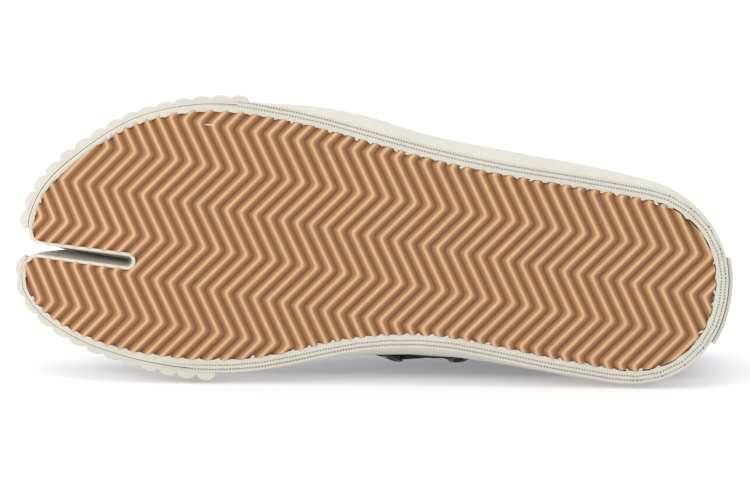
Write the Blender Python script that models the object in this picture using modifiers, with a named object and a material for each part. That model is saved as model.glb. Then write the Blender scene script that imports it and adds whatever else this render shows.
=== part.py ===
"""Split-toe low-top sneaker for the left foot, lying on its inner side.

The shoe is worked out upright in its own axes, in millimetres: heel at +X, toes at -X, the inner
(medial) side at +Y, and the flat of the tread at Z = 0. An empty then lays the whole shoe down, in
metres, on the side where it comes to rest, with its sole facing -Y.
"""

import math
from collections import namedtuple

import bmesh
import bpy
import numpy as np
from mathutils import Matrix, Vector
from mathutils.geometry import intersect_point_tri

MM = 0.001
CLEARANCE = 0.3

# Edge of the tread: heel, toes and the slot between the big toe and the small toes.
HEEL_BACK = (139.5, -0.6)
HEEL_ROUND = 2.15
BIG_TOE_SHOULDER = (-84.0, 62.3)
BIG_TOE_TIP = (-138.3, 37.5)
BIG_TOE_CORNER = (-131.0, 31.2)
BIG_TOE_ROUND = 2.1
SMALL_TOES_SHOULDER = (-62.0, -41.2)
SMALL_TOES_TIP = (-138.6, 15.0)
SMALL_TOES_CORNER = (-134.0, 25.2)
SMALL_TOES_ROUND = 1.8
CORNER_ROUND = 2.6
SLOT_END = (-97.3, 26.4)
SLOT_RADIUS = 3.1

# Edge of the tread along the two sides, from the heel to the ball.
Side = namedtuple("Side", "x medial lateral")
SIDES = [
    Side(104, 34.4, -35.8),
    Side(80, 34.5, -35.8),
    Side(48, 33.6, -35.3),
    Side(33, 33.8, -35.6),
    Side(16, 36.2, -36.4),
    Side(0, 40.4, -37.8),
    Side(-16, 46.5, -39.4),
    Side(-32, 53.2, -40.8),
    Side(-48, 58.0, -41.4),
    Side(-62, 60.6, -41.2),
    Side(-84, 62.3, -37.4),
]

# Places along the two sides, beside the ends of the throat and the slot and the fork and end of the ridge.
Beside = namedtuple("Beside", "throat fork slot toe")
MEDIAL_X = Beside(-37.0, -62.0, -82.0, -112.0)
LATERAL_X = Beside(-58.0, -75.0, -90.0, -108.0)

# Ridge of the last, where the two halves of the upper meet, or would meet above the foot. A higher
# box number makes a squarer section.
Ridge = namedtuple("Ridge", "x y z box")
INSTEP = [
    Ridge(104, 0, 165, 2.0),
    Ridge(80, 1, 138, 2.0),
    Ridge(48, 3, 112, 2.0),
    Ridge(28, 5, 100, 2.0),
    Ridge(0, 9, 82, 2.1),
    Ridge(-24, 13, 68, 2.2),
    Ridge(-46, 18, 57, 2.3),
    Ridge(-76, 26, 47, 2.4),
]
THROAT_X = -46.0
BIG_TOE_SPLIT, BIG_TOE_RIDGE = Ridge(-93, 33.5, 43, 2.5), Ridge(-116, 44, 36, 2.6)
SMALL_TOES_SPLIT, SMALL_TOES_RIDGE = Ridge(-91, 16.5, 42, 2.5), Ridge(-112, 4, 34, 2.6)

# How far the wall of the upper stands outside the tread at three heights.
BELLY_HEIGHT, LIP_HEIGHT, SWELL_HEIGHT = 8.0, 25.0, 40.0
Lean = namedtuple("Lean", "x medial_belly medial_lip medial_swell lateral_belly lateral_lip lateral_swell")
LEANS = [
    Lean(140, 0.6, 0.0, 0.0, 0.6, 0.0, 0.0),
    Lean(104, 1.6, -0.8, 0.6, 1.9, 3.2, 3.2),
    Lean(76, 1.6, 0.4, 2.0, 2.6, 4.8, 5.2),
    Lean(28, 3.0, 7.0, 17.0, 3.0, 5.6, 6.6),
    Lean(-10, 1.8, 3.6, 6.5, 2.4, 4.6, 5.6),
    Lean(-62, 0.8, -0.6, -0.6, 1.2, 1.8, 2.0),
    Lean(-140, 0.0, 0.0, 0.0, 0.0, 0.0, 0.0),
]

# Topline of the collar beside each point of the tread's edge.
Topline = namedtuple("Topline", "x z")
COLLAR = [
    Topline(140, 79),
    Topline(124, 75),
    Topline(98, 66),
    Topline(78, 63),
    Topline(56, 67),
    Topline(42, 76),
    Topline(29, 95),
    Topline(12, 135),
]
THROAT_HALF_GAP = 12.5
THROAT_ROUND_LENGTH = 34.0
UPPER_WALL = 1.8
UPPER_FOOT = 5.6
UPPER_ROWS = 6

# Outsole and its herringbone.
OUTSOLE_THICKNESS = 5.0
TOE_SPRING = 15.0
SPRING_START_X, SPRING_END_X = -72.0, -140.0
RIB_PITCH = 5.78
RIB_DEPTH = 2.2
RIB_CREST, RIB_FLANK = 1.5, 1.1
ZIGZAG_STEP = 16.5
ZIGZAG_REACH = 11.7
ZIGZAG_POINT = (-3.7, -1.2)
RIBS_PER_BACK_STRIP = 3

# Rubber round the edge, its thickness measured outwards.
RAND_THICKNESS, TOE_RAND_THICKNESS = 3.1, 1.5
RAND_THINS_X = (-138.0, -104.0)
SLOT_LINING = 1.2
SLOT_MOUTH = 7.0
RAND_FOOT, RAND_TOP = 0.5, 24.0
TAPE_THICKNESS = 1.2
TAPE_FOOT = 0.7
TAPE_TOP = LIP_HEIGHT
BUMPER_WALL = 0.8
BumperLevel = namedtuple("BumperLevel", "z rib")
BUMPER_LEVELS = [BumperLevel(0.9, 1.9), BumperLevel(BELLY_HEIGHT, 2.2), BumperLevel(22.5, 1.0)]
BIG_TOE_RIBS, BIG_TOE_RIBS_END_X = 13, -55.0
SMALL_TOES_RIBS, SMALL_TOES_RIBS_END_X = 15, -60.4
RIB_SHAPE = ((0.0, 0.0), (0.27, 0.94), (0.73, 0.94))
PATCH_HALF_WIDTH = 15.5
PATCH_THICKNESS, PATCH_COLUMNS = 1.3, 7
PATCH_FOOT, PATCH_TOP = 2.0, 23.5

# Footbed, tongue, eyelets and lace.
INSOLE_FOOT, INSOLE_TOP = 5.9, 9.6
INSOLE_CLEARANCE = 0.8
TONGUE_THICKNESS = 2.4
TONGUE_CLEARANCE = 2.8
TongueRow = namedtuple("TongueRow", "x half_width")
TONGUE = [TongueRow(44, 18), TongueRow(30, 21), TongueRow(8, 21.5), TongueRow(-22, 20), TongueRow(-58, 17)]
TONGUE_STATIONS, TONGUE_STRIPS = 9, 6
LACE_STATIONS_X = (-33.0, -19.5, -6.0, 7.5, 21.0)
EYELET_INSET = 8.0
EYELET_FLANGE, EYELET_BARREL, EYELET_BORE = 4.4, 2.9, 2.2
EYELET_LIP, EYELET_SIDES = 0.8, 8
VENT_STATIONS_X = (13.0, 42.0)
VENT_HEIGHT = 38.0
LACE_WIDTH, LACE_THICKNESS = 6.0, 1.2
LACE_LIFT, LACE_OVERLIFT = 2.8, 0.4
LACE_SEGMENTS = 4

# Colour, roughness and density in g/cm3.
Finish = namedtuple("Finish", "name colour roughness density")
GUM = Finish("gum_rubber", (0.45, 0.24, 0.11), 0.55, 1.2)
OFF_WHITE = Finish("off_white_rubber", (0.74, 0.72, 0.64), 0.5, 1.2)
CANVAS = Finish("black_canvas", (0.012, 0.012, 0.013), 0.9, 0.3)
FOOTBED = Finish("footbed_cloth", (0.62, 0.60, 0.55), 0.9, 0.3)
LACE_COTTON = Finish("lace_cotton", (0.015, 0.015, 0.016), 0.9, 0.3)
EYELET_PAINT = Finish("eyelet_paint", (0.02, 0.02, 0.02), 0.35, 2.7)


# Curves

def through(places, values, at):
    """Smooth curve through the values at these rising or falling places, read at one place."""
    places, values = np.asarray(places, float), np.asarray(values, float)
    if places[0] > places[-1]:
        places, values = places[::-1], values[::-1]
    at = min(max(at, places[0]), places[-1])
    slopes = np.gradient(values, places)
    i = int(np.clip(np.searchsorted(places, at) - 1, 0, len(places) - 2))
    span = places[i + 1] - places[i]
    t = (at - places[i]) / span
    level = (2 * t**3 - 3 * t**2 + 1) * values[i] + (3 * t**2 - 2 * t**3) * values[i + 1]
    return level + span * ((t**3 - 2 * t**2 + t) * slopes[i] + (t**3 - t**2) * slopes[i + 1])


def read(table, column, x):
    return through([row.x for row in table], [getattr(row, column) for row in table], x)


def quarter_round(start, end, exponent, leaves_along_y, count=60):
    """Quarter of a superellipse that leaves start along Y or X and reaches end square to that."""
    turn = np.linspace(0, math.pi / 2, count)
    growing, shrinking = np.sin(turn) ** (2 / exponent), np.cos(turn) ** (2 / exponent)
    x_part, y_part = (1 - shrinking, growing) if leaves_along_y else (growing, 1 - shrinking)
    return np.column_stack([
        start[0] + (end[0] - start[0]) * x_part,
        start[1] + (end[1] - start[1]) * y_part,
    ])


def side_line(column, from_x, to_x, count=120):
    return np.array([(x, read(SIDES, column, x)) for x in np.linspace(from_x, to_x, count)])


def slot_end_arc(from_degrees, to_degrees, count=16):
    turn = np.radians(np.linspace(from_degrees, to_degrees, count))
    return np.array(SLOT_END) + SLOT_RADIUS * np.column_stack([np.cos(turn), np.sin(turn)])


def lengths_along(points):
    steps = np.linalg.norm(np.diff(points, axis=0), axis=1)
    return np.concatenate([[0.0], np.cumsum(steps)])


def point_at(points, length):
    run = lengths_along(points)
    return np.array([np.interp(length, run, points[:, i]) for i in range(points.shape[1])])


def stretch(path, from_x, to_x, count=40):
    """Part of a path along one side, between two places."""
    order = np.argsort(path[:, 0])
    run = lengths_along(path)
    first, last = np.interp((from_x, to_x), path[order, 0], run[order])
    return np.array([point_at(path, length) for length in np.linspace(first, last, count)])


def spring(x):
    """Lift of the toes above the flat of the tread."""
    ahead = max(0.0, (SPRING_START_X - x) / (SPRING_START_X - SPRING_END_X))
    return TOE_SPRING * ahead**2


# The last: panels round the edge of the tread, each with the stretch of ridge that its columns climb to

Panel = namedtuple("Panel", "name edge ridge columns side")
Column = namedtuple("Column", "panel edge normal ridge lean")


def ridge_line(rows, from_x, to_x, count=40):
    places = np.linspace(from_x, to_x, count)
    return np.array([(x, read(rows, "y", x), read(rows, "z", x), read(rows, "box", x)) for x in places])


def make_panels():
    heel, fork = INSTEP[0], INSTEP[-1]
    quarter, vamp = ridge_line(INSTEP, heel.x, THROAT_X), ridge_line(INSTEP, THROAT_X, fork.x)
    span = lambda start, end: np.array([start, end], float)
    big_toe_joint, big_toe = span(fork, BIG_TOE_SPLIT), span(BIG_TOE_SPLIT, BIG_TOE_RIDGE)
    small_toes_joint, small_toes = span(fork, SMALL_TOES_SPLIT), span(SMALL_TOES_SPLIT, SMALL_TOES_RIDGE)
    at_heel = span(heel, heel)
    at_big_toe, at_small_toes = span(BIG_TOE_RIDGE, BIG_TOE_RIDGE), span(SMALL_TOES_RIDGE, SMALL_TOES_RIDGE)

    medial = np.vstack([
        side_line("medial", heel.x, BIG_TOE_SHOULDER[0])[:-1],
        quarter_round(BIG_TOE_SHOULDER, BIG_TOE_TIP, BIG_TOE_ROUND, False),
    ])
    lateral = np.vstack([
        quarter_round(SMALL_TOES_TIP, SMALL_TOES_SHOULDER, SMALL_TOES_ROUND, True),
        side_line("lateral", SMALL_TOES_SHOULDER[0], heel.x)[1:],
    ])
    m, l = MEDIAL_X, LATERAL_X
    heel_lateral = quarter_round(lateral[-1], HEEL_BACK, HEEL_ROUND, False)
    big_toe_front = quarter_round(BIG_TOE_TIP, BIG_TOE_CORNER, CORNER_ROUND, True)
    small_toes_front = quarter_round(SMALL_TOES_CORNER, SMALL_TOES_TIP, CORNER_ROUND, False)
    slot_medial, slot_lateral = slot_end_arc(90, 0), slot_end_arc(0, -90)
    return [
        Panel("heel_medial", quarter_round(HEEL_BACK, medial[0], HEEL_ROUND, True), at_heel, 6, "medial"),
        Panel("quarter_medial", stretch(medial, heel.x, m.throat, 80), quarter, 11, "medial"),
        Panel("vamp_medial", stretch(medial, m.throat, m.fork), vamp, 2, "medial"),
        Panel("big_toe_joint", stretch(medial, m.fork, m.slot), big_toe_joint, 3, "medial"),
        Panel("big_toe_side", stretch(medial, m.slot, m.toe), big_toe, 5, "medial"),
        Panel("big_toe_cap", stretch(medial, m.toe, BIG_TOE_TIP[0]), at_big_toe, 5, "medial"),
        Panel("big_toe_front", big_toe_front, at_big_toe, 4, None),
        Panel("slot_big_toe", np.linspace(BIG_TOE_CORNER, slot_medial[0], 12), big_toe[::-1], 5, None),
        Panel("slot_end_medial", slot_medial, big_toe_joint[::-1], 3, None),
        Panel("slot_end_lateral", slot_lateral, small_toes_joint, 3, None),
        Panel("slot_small_toes", np.linspace(slot_lateral[-1], SMALL_TOES_CORNER, 12), small_toes, 5, None),
        Panel("small_toes_front", small_toes_front, at_small_toes, 4, None),
        Panel("small_toes_cap", stretch(lateral, SMALL_TOES_TIP[0], l.toe), at_small_toes, 6, "lateral"),
        Panel("small_toes_side", stretch(lateral, l.toe, l.slot), small_toes[::-1], 5, "lateral"),
        Panel("small_toes_joint", stretch(lateral, l.slot, l.fork), small_toes_joint[::-1], 3, "lateral"),
        Panel("vamp_lateral", stretch(lateral, l.fork, l.throat), vamp[::-1], 2, "lateral"),
        Panel("quarter_lateral", stretch(lateral, l.throat, heel.x, 80), quarter[::-1], 11, "lateral"),
        Panel("heel_lateral", heel_lateral, at_heel, 6, "lateral"),
    ]


PANELS = {panel.name: panel for panel in make_panels()}
EDGE = np.vstack([panel.edge[:-1] for panel in PANELS.values()] + [[HEEL_BACK]])
EDGE_LENGTH = lengths_along(EDGE)[-1]
PANEL_LENGTHS = {name: lengths_along(panel.edge)[-1] for name, panel in PANELS.items()}
PANEL_STARTS = dict(zip(PANELS, np.concatenate([[0.0], np.cumsum(list(PANEL_LENGTHS.values()))])))


def edge_normal(length, feel=0.7):
    """Outward normal of the tread's edge."""
    before = point_at(EDGE, (length - feel) % EDGE_LENGTH)
    after = point_at(EDGE, (length + feel) % EDGE_LENGTH)
    along = (after - before) / np.linalg.norm(after - before)
    return np.array([along[1], -along[0]])


def column_at(name, fraction):
    panel = PANELS[name]
    edge = point_at(panel.edge, fraction * PANEL_LENGTHS[name])
    ridge = point_at(panel.ridge, fraction * lengths_along(panel.ridge)[-1])
    normal = edge_normal(PANEL_STARTS[name] + fraction * PANEL_LENGTHS[name])
    heights = ("belly", "lip", "swell")
    lean = [read(LEANS, f"{panel.side}_{height}", edge[0]) if panel.side else 0.0 for height in heights]
    return Column(name, edge, normal, Ridge(*ridge), lean)


def column_along(length):
    """Column at a length round the tread's edge from the back of the heel."""
    length %= EDGE_LENGTH
    name = [panel for panel in PANELS if PANEL_STARTS[panel] <= length][-1]
    return column_at(name, (length - PANEL_STARTS[name]) / PANEL_LENGTHS[name])


def columns_of(*names):
    return [column_at(n, i / PANELS[n].columns) for n in names for i in range(PANELS[n].columns)]


def last_point(column, turn):
    """Point of the upper's outer face, from the edge (turn 0) to the ridge (turn a quarter circle)."""
    ridge = column.ridge
    middle = np.array([ridge.x, ridge.y])
    height = ridge.z * math.sin(turn) ** (2 / ridge.box)
    spread = max(0.0, math.cos(turn)) ** (2 / ridge.box)
    heights = (0.0, BELLY_HEIGHT, LIP_HEIGHT, SWELL_HEIGHT, 2 * SWELL_HEIGHT)
    lean = through(heights, [0.0, *column.lean, column.lean[-1]], height)
    flat = middle + (column.edge - middle + column.normal * lean) * spread
    return np.array([flat[0], flat[1], height])


def turn_at_height(column, height):
    return math.asin(min(1.0, height / column.ridge.z) ** (column.ridge.box / 2))


def turn_at_reach(column, reach):
    """Turn at which the upper's face is this far from its ridge, seen from above."""
    low, high = 0.0, math.pi / 2
    middle = np.array([column.ridge.x, column.ridge.y])
    for _ in range(40):
        turn = (low + high) / 2
        if np.linalg.norm(last_point(column, turn)[:2] - middle) > reach:
            low = turn
        else:
            high = turn
    return high


def side_point(column, height, out=0.0):
    """Point of the side wall up to the lip, which is straight between its levels, moved outwards."""
    levels = (0.0, BELLY_HEIGHT, LIP_HEIGHT)
    points = np.array([last_point(column, turn_at_height(column, level)) for level in levels])
    flat = [np.interp(height, levels, points[:, i]) for i in range(2)]
    return np.array([*(flat + column.normal * out), height])


# Meshes

def in_metres(point):
    x, y, z = point
    return Vector((x, y, z + spring(x))) * MM


def add_object(name, bm, finish, collection):
    bmesh.ops.remove_doubles(bm, verts=bm.verts, dist=0.01 * MM)
    mesh = bpy.data.meshes.new(name)
    bm.to_mesh(mesh)
    bm.free()
    mesh.shade_smooth()
    mesh.set_sharp_from_angle(angle=math.radians(40))
    obj = bpy.data.objects.new(name, mesh)
    collection.objects.link(obj)
    if finish:
        mesh.materials.append(material_of(finish))
        obj["density"] = finish.density
    return obj


def material_of(finish):
    material = bpy.data.materials.get(finish.name) or bpy.data.materials.new(finish.name)
    material.use_nodes = True
    shader = material.node_tree.nodes["Principled BSDF"]
    shader.inputs["Base Color"].default_value = (*finish.colour, 1.0)
    shader.inputs["Roughness"].default_value = finish.roughness
    shader.inputs["Metallic"].default_value = 0.0
    return material


def loft(rings, closed_ring, closed_loft, capped):
    """Skin over a row of rings of points, with each step split the same way, from low to high."""
    bm = bmesh.new()
    rows = [[(point[2], bm.verts.new(in_metres(point))) for point in ring] for ring in rings]
    pairs = list(zip(rows, rows[1:]))
    if closed_loft:
        pairs.append((rows[-1], rows[0]))
    for one, two in pairs:
        steps = len(one) if closed_ring else len(one) - 1
        for i in range(steps):
            j = (i + 1) % len(one)
            (height, here), (next_height, above) = one[i], one[j]
            beside, across = two[i][1], two[j][1]
            if height <= next_height:
                corners = ((here, beside, across), (here, across, above))
            else:
                corners = ((here, beside, above), (beside, across, above))
            for triangle in corners:
                bm.faces.new(triangle)
    if capped:
        bm.faces.new([vert for _, vert in rows[0]])
        bm.faces.new([vert for _, vert in reversed(rows[-1])])
    return bm


def closed_solid(bm):
    bmesh.ops.remove_doubles(bm, verts=bm.verts, dist=0.01 * MM)
    bmesh.ops.recalc_face_normals(bm, faces=bm.faces)
    return bm


def band(columns, levels, inner, outer, closed):
    """Strip of rubber round the edge, between two distances outside the upper's face."""
    rings = []
    for column, near, far in zip(columns, inner, outer):
        up = [side_point(column, level, near) for level in levels]
        down = [side_point(column, level, far) for level in reversed(levels)]
        rings.append(up + down)
    return closed_solid(loft(rings, True, closed, not closed))


def evaluated_mesh(obj):
    return bpy.data.meshes.new_from_object(obj.evaluated_get(bpy.context.evaluated_depsgraph_get()))


def cut(obj, cutter, operation="DIFFERENCE"):
    boolean = obj.modifiers.new(cutter.name, "BOOLEAN")
    boolean.operation = operation
    boolean.solver = "EXACT"
    boolean.object = cutter


# Upper

def throat_half_gap(x):
    back = min(1.0, max(0.0, (x - THROAT_X) / THROAT_ROUND_LENGTH))
    return THROAT_HALF_GAP * math.sqrt(1 - (1 - back) ** 2)


def topline_turn(column):
    """Turn at which a column stops: at the throat's edge or the collar, or else at the ridge."""
    if not column.panel.startswith(("quarter", "heel")):
        return math.pi / 2
    collar = turn_at_height(column, read(COLLAR, "z", column.edge[0]))
    if column.panel.startswith("heel"):
        return collar
    half_gap = throat_half_gap(column.ridge.x)
    facing = turn_at_reach(column, half_gap) if half_gap > 0 else math.pi / 2
    return min(collar, facing)


def make_upper(collection):
    rings = []
    for column in columns_of(*PANELS):
        side = [side_point(column, height) for height in (UPPER_FOOT, BELLY_HEIGHT, LIP_HEIGHT)]
        start, stop = turn_at_height(column, LIP_HEIGHT), topline_turn(column)
        turns = np.linspace(start, stop, UPPER_ROWS)[1:]
        rings.append(side + [last_point(column, turn) for turn in turns])
    obj = add_object("upper", loft(rings, False, True, False), CANVAS, collection)
    wall = obj.modifiers.new("wall", "SOLIDIFY")
    wall.thickness = UPPER_WALL * MM
    wall.offset = -1.0
    wall.use_even_offset = False
    return obj


# Outsole

def plan_x(flat_x):
    """Where a point of the flat rubber sheet comes to lie once the toes are lifted."""
    places = np.linspace(SPRING_START_X, SPRING_END_X - 20, 200)
    heights = np.array([spring(x) for x in places])
    run = lengths_along(np.column_stack([places, heights]))
    return float(np.interp(SPRING_START_X - flat_x, run, places)) if flat_x < SPRING_START_X else flat_x


def make_outsole(collection, cutters):
    bends = range(-4, 6)
    lines = [(ZIGZAG_POINT[0] + ZIGZAG_REACH * (n % 2), ZIGZAG_POINT[1] + ZIGZAG_STEP * n) for n in bends]
    half_crest, half_rib = RIB_CREST / 2, RIB_CREST / 2 + RIB_FLANK
    profile = ((-half_rib, RIB_DEPTH), (-half_crest, 0.0), (half_crest, 0.0), (half_rib, RIB_DEPTH))
    ribs = range(-29, 28)
    bm = bmesh.new()
    add = lambda x, y, z: bm.verts.new(Vector((plan_x(x), y, z)) * MM)
    tread = [
        [add(line_x + rib * RIB_PITCH + dx, y, z) for rib in ribs for dx, z in profile] for line_x, y in lines
    ]
    strip_ends = range(0, len(tread[0]), len(profile) * RIBS_PER_BACK_STRIP)
    marks = sorted({*strip_ends, len(tread[0]) - 1})
    back = [
        [bm.verts.new((row[i].co.x, row[i].co.y, OUTSOLE_THICKNESS * MM)) for i in marks] for row in tread
    ]
    for one, two in zip(tread, tread[1:]):
        for i in range(len(one) - 1):
            bm.faces.new((one[i], two[i], two[i + 1], one[i + 1]))
    for one, two in zip(back, back[1:]):
        for i in range(len(one) - 1):
            bm.faces.new((one[i], one[i + 1], two[i + 1], two[i]))
    for low, high in ((tread[0], back[0]), (tread[-1], back[-1])):
        for i, (first, last) in enumerate(zip(marks, marks[1:])):
            bm.faces.new([*low[first:last + 1], high[i + 1], high[i]])
    for end in (0, -1):
        for n in range(len(lines) - 1):
            bm.faces.new((tread[n][end], tread[n + 1][end], back[n + 1][end], back[n][end]))
    sheet = add_object("tread_sheet", closed_solid(bm), None, cutters)

    outline = [column.edge for column in columns_of(*PANELS)]
    punch_bm = bmesh.new()
    flat = [punch_bm.verts.new(Vector((x, y, -5.0)) * MM) for x, y in outline]
    face = punch_bm.faces.new(flat)
    raised = bmesh.ops.extrude_face_region(punch_bm, geom=[face])["geom"]
    moved = [item for item in raised if isinstance(item, bmesh.types.BMVert)]
    bmesh.ops.translate(punch_bm, verts=moved, vec=(0, 0, 20 * MM))
    punch = add_object("outline_punch", closed_solid(punch_bm), None, cutters)
    cut(sheet, punch, "INTERSECT")

    bm = bmesh.new()
    mesh = evaluated_mesh(sheet)
    bm.from_mesh(mesh)
    bpy.data.meshes.remove(mesh)
    for vert in bm.verts:
        vert.co.z += spring(vert.co.x / MM) * MM
    return add_object("outsole", bm, GUM, collection)


# Rubber round the edge

def rand_thickness(column):
    return float(np.interp(column.edge[0], RAND_THINS_X, (TOE_RAND_THICKNESS, RAND_THICKNESS)))


def tape_inner(column):
    return rand_thickness(column) + 2 * CLEARANCE


def trim_inner(column):
    """Where the bumpers and the heel patch sit, just outside the tape."""
    return tape_inner(column) + TAPE_THICKNESS + CLEARANCE


def from_slot_mouth(column):
    corners = (BIG_TOE_CORNER, SMALL_TOES_CORNER)
    return min(np.linalg.norm(column.edge - corner) for corner in corners)


def make_rand(collection):
    columns = columns_of(*PANELS)
    outer = []
    for column in columns:
        thickness = rand_thickness(column)
        if column.panel.startswith("slot"):
            thickness = SLOT_LINING
        elif column.panel.endswith("front"):
            thickness = np.interp(from_slot_mouth(column), (0.0, SLOT_MOUTH), (SLOT_LINING, thickness))
        outer.append(CLEARANCE + thickness)
    bm = band(columns, (RAND_FOOT, BELLY_HEIGHT, RAND_TOP), [CLEARANCE] * len(columns), outer, True)
    return add_object("rand", bm, OFF_WHITE, collection)


TAPE_START = PANEL_STARTS["small_toes_front"] + SLOT_MOUTH
TAPE_END = PANEL_STARTS["slot_big_toe"] - SLOT_MOUTH


def make_foxing(collection):
    """Tape from the small toes' side of the slot, round the heel, to the big toe's side of it."""
    names = list(PANELS)
    lateral = names[names.index("small_toes_front"):]
    medial = names[:names.index("slot_big_toe")]
    clear = [column for column in columns_of(*lateral, *medial) if from_slot_mouth(column) > SLOT_MOUTH]
    columns = [column_along(TAPE_START), *clear, column_along(TAPE_END)]
    inner = [tape_inner(column) for column in columns]
    outer = [near + TAPE_THICKNESS for near in inner]
    bm = band(columns, (TAPE_FOOT, BELLY_HEIGHT, TAPE_TOP), inner, outer, False)
    return add_object("foxing", bm, OFF_WHITE, collection)


def length_at_x(name, x):
    edge = PANELS[name].edge
    order = np.argsort(edge[:, 0])
    return PANEL_STARTS[name] + float(np.interp(x, edge[order, 0], lengths_along(edge)[order]))


def make_bumper(name, start, end, ribs, collection):
    steps = [(rib + place, height) for rib in range(ribs) for place, height in RIB_SHAPE] + [(ribs, 0.0)]
    rings = []
    for place, height in steps:
        column = column_along(start + (end - start) * place / ribs)
        inner = trim_inner(column)
        up = [side_point(column, level.z, inner) for level in BUMPER_LEVELS]
        down = [
            side_point(column, level.z, inner + BUMPER_WALL + level.rib * height)
            for level in reversed(BUMPER_LEVELS)
        ]
        rings.append(up + down)
    bm = closed_solid(loft(rings, True, False, True))
    return add_object(name, bm, OFF_WHITE, collection)


def make_bumpers(collection):
    ball = length_at_x("vamp_medial", BIG_TOE_RIBS_END_X)
    little_toe = length_at_x("vamp_lateral", SMALL_TOES_RIBS_END_X)
    return [
        make_bumper("bumper_big_toe", ball, TAPE_END, BIG_TOE_RIBS, collection),
        make_bumper("bumper_small_toes", TAPE_START, little_toe, SMALL_TOES_RIBS, collection),
    ]


def make_heel_patch(collection):
    lengths = np.linspace(-PATCH_HALF_WIDTH, PATCH_HALF_WIDTH, PATCH_COLUMNS)
    columns = [column_along(length) for length in lengths]
    levels = (PATCH_FOOT, BELLY_HEIGHT, PATCH_TOP)
    inner = [trim_inner(column) for column in columns]
    outer = [near + PATCH_THICKNESS for near in inner]
    bm = band(columns, levels, inner, outer, False)
    return add_object("heel_patch", bm, OFF_WHITE, collection)


# Footbed and tongue

def make_insole(collection):
    inset = -(UPPER_WALL + INSOLE_CLEARANCE)
    rings = []
    for column in columns_of(*PANELS):
        foot, top = side_point(column, INSOLE_FOOT, inset), side_point(column, INSOLE_TOP, inset)
        middle = (column.ridge.x, column.ridge.y)
        rings.append([(*middle, INSOLE_FOOT), foot, top, (*middle, INSOLE_TOP)])
    return add_object("insole", closed_solid(loft(rings, False, True, False)), FOOTBED, collection)


def instep_column(side, x):
    """Column of the medial or lateral half whose ridge is at this place along the instep."""
    panel = "quarter" if x >= THROAT_X else "vamp"
    ridge = PANELS[f"{panel}_medial"].ridge
    run = lengths_along(ridge)
    fraction = float(np.interp(-x, -ridge[:, 0], run / run[-1]))
    return column_at(f"{panel}_{side}", fraction if side == "medial" else 1 - fraction)


def instep_point(x, reach):
    """Point of the last over the instep, at a signed distance from the ridge (medial positive)."""
    column = instep_column("medial" if reach >= 0 else "lateral", x)
    return last_point(column, turn_at_reach(column, abs(reach)) if reach else math.pi / 2)


def instep_normal(x, reach, feel=1.0):
    along = instep_point(x - feel, reach) - instep_point(x + feel, reach)
    across = instep_point(x, reach - feel) - instep_point(x, reach + feel)
    normal = np.cross(along, across)
    return normal / np.linalg.norm(normal)


def make_tongue(collection):
    stations = np.linspace(TONGUE[0].x, TONGUE[-1].x, TONGUE_STATIONS)
    depth = UPPER_WALL + TONGUE_CLEARANCE
    rings = []
    for x in stations:
        reaches = read(TONGUE, "half_width", x) * np.linspace(1, -1, TONGUE_STRIPS + 1)
        top = [instep_point(x, r) - depth * instep_normal(x, r) for r in reaches]
        under = [instep_point(x, r) - (depth + TONGUE_THICKNESS) * instep_normal(x, r) for r in reaches]
        rings.append(top + under[::-1])
    return add_object("tongue", closed_solid(loft(rings, True, False, True)), CANVAS, collection)


# Eyelets and lace

def turned(profile, place, axis, name, finish, collection):
    """Ring turned about its own axis, standing at a place along an axis."""
    bm = bmesh.new()
    turn = Vector((0, 0, 1)).rotation_difference(axis).to_matrix().to_4x4()
    for i in range(EYELET_SIDES):
        angle = 2 * math.pi * i / EYELET_SIDES
        for radius, height in profile:
            bm.verts.new(Vector((radius * math.cos(angle), radius * math.sin(angle), height)) * MM)
    bm.verts.ensure_lookup_table()
    count = len(profile)
    for i in range(EYELET_SIDES):
        here, there = i * count, (i + 1) % EYELET_SIDES * count
        for j in range(count):
            k = (j + 1) % count
            corners = (here + j, there + j, there + k, here + k)
            bm.faces.new([bm.verts[n] for n in corners])
    bmesh.ops.transform(bm, matrix=Matrix.Translation(place) @ turn, verts=bm.verts)
    return add_object(name, closed_solid(bm), finish, collection)


def eyelet_places():
    """Name, place on the upper's face and outward axis of each eyelet, in metres."""
    places = []
    for n, x in enumerate(LACE_STATIONS_X, 1):
        for side, sign in (("medial", 1), ("lateral", -1)):
            reach = sign * (throat_half_gap(x) + EYELET_INSET)
            axis = Vector(instep_normal(x, reach))
            places.append((f"eyelet_{side}_{n}", in_metres(instep_point(x, reach)), axis))
    for n, x in enumerate(VENT_STATIONS_X, 1):
        column = column_along(length_at_x("quarter_medial", x))
        beside = column_along(length_at_x("quarter_medial", x - 1))
        turn = turn_at_height(column, VENT_HEIGHT)
        point = last_point(column, turn)
        up = last_point(column, turn + 0.01) - point
        along = last_point(beside, turn_at_height(beside, VENT_HEIGHT)) - point
        axis = Vector(np.cross(along, up)).normalized()
        places.append((f"eyelet_vent_{n}", in_metres(point), axis))
    return places


def make_eyelets(upper, collection, cutters):
    under = -(UPPER_WALL + CLEARANCE)
    ring = [
        (EYELET_BORE, CLEARANCE + EYELET_LIP), (EYELET_FLANGE, CLEARANCE + EYELET_LIP),
        (EYELET_FLANGE, CLEARANCE), (EYELET_BARREL, CLEARANCE),
        (EYELET_BARREL, under), (EYELET_BORE, under),
    ]
    eyelets = []
    punches = bmesh.new()
    for name, place, axis in eyelet_places():
        eyelets.append(turned(ring, place, axis, name, EYELET_PAINT, collection))
        stand = Matrix.Translation(place) @ Vector((0, 0, 1)).rotation_difference(axis).to_matrix().to_4x4()
        radius = (EYELET_BARREL + CLEARANCE) * MM
        bmesh.ops.create_cone(
            punches, cap_ends=True, segments=EYELET_SIDES, radius1=radius, radius2=radius,
            depth=8 * MM, matrix=stand,
        )
    cut(upper, add_object("eyelet_punches", punches, None, cutters))
    return eyelets


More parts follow.
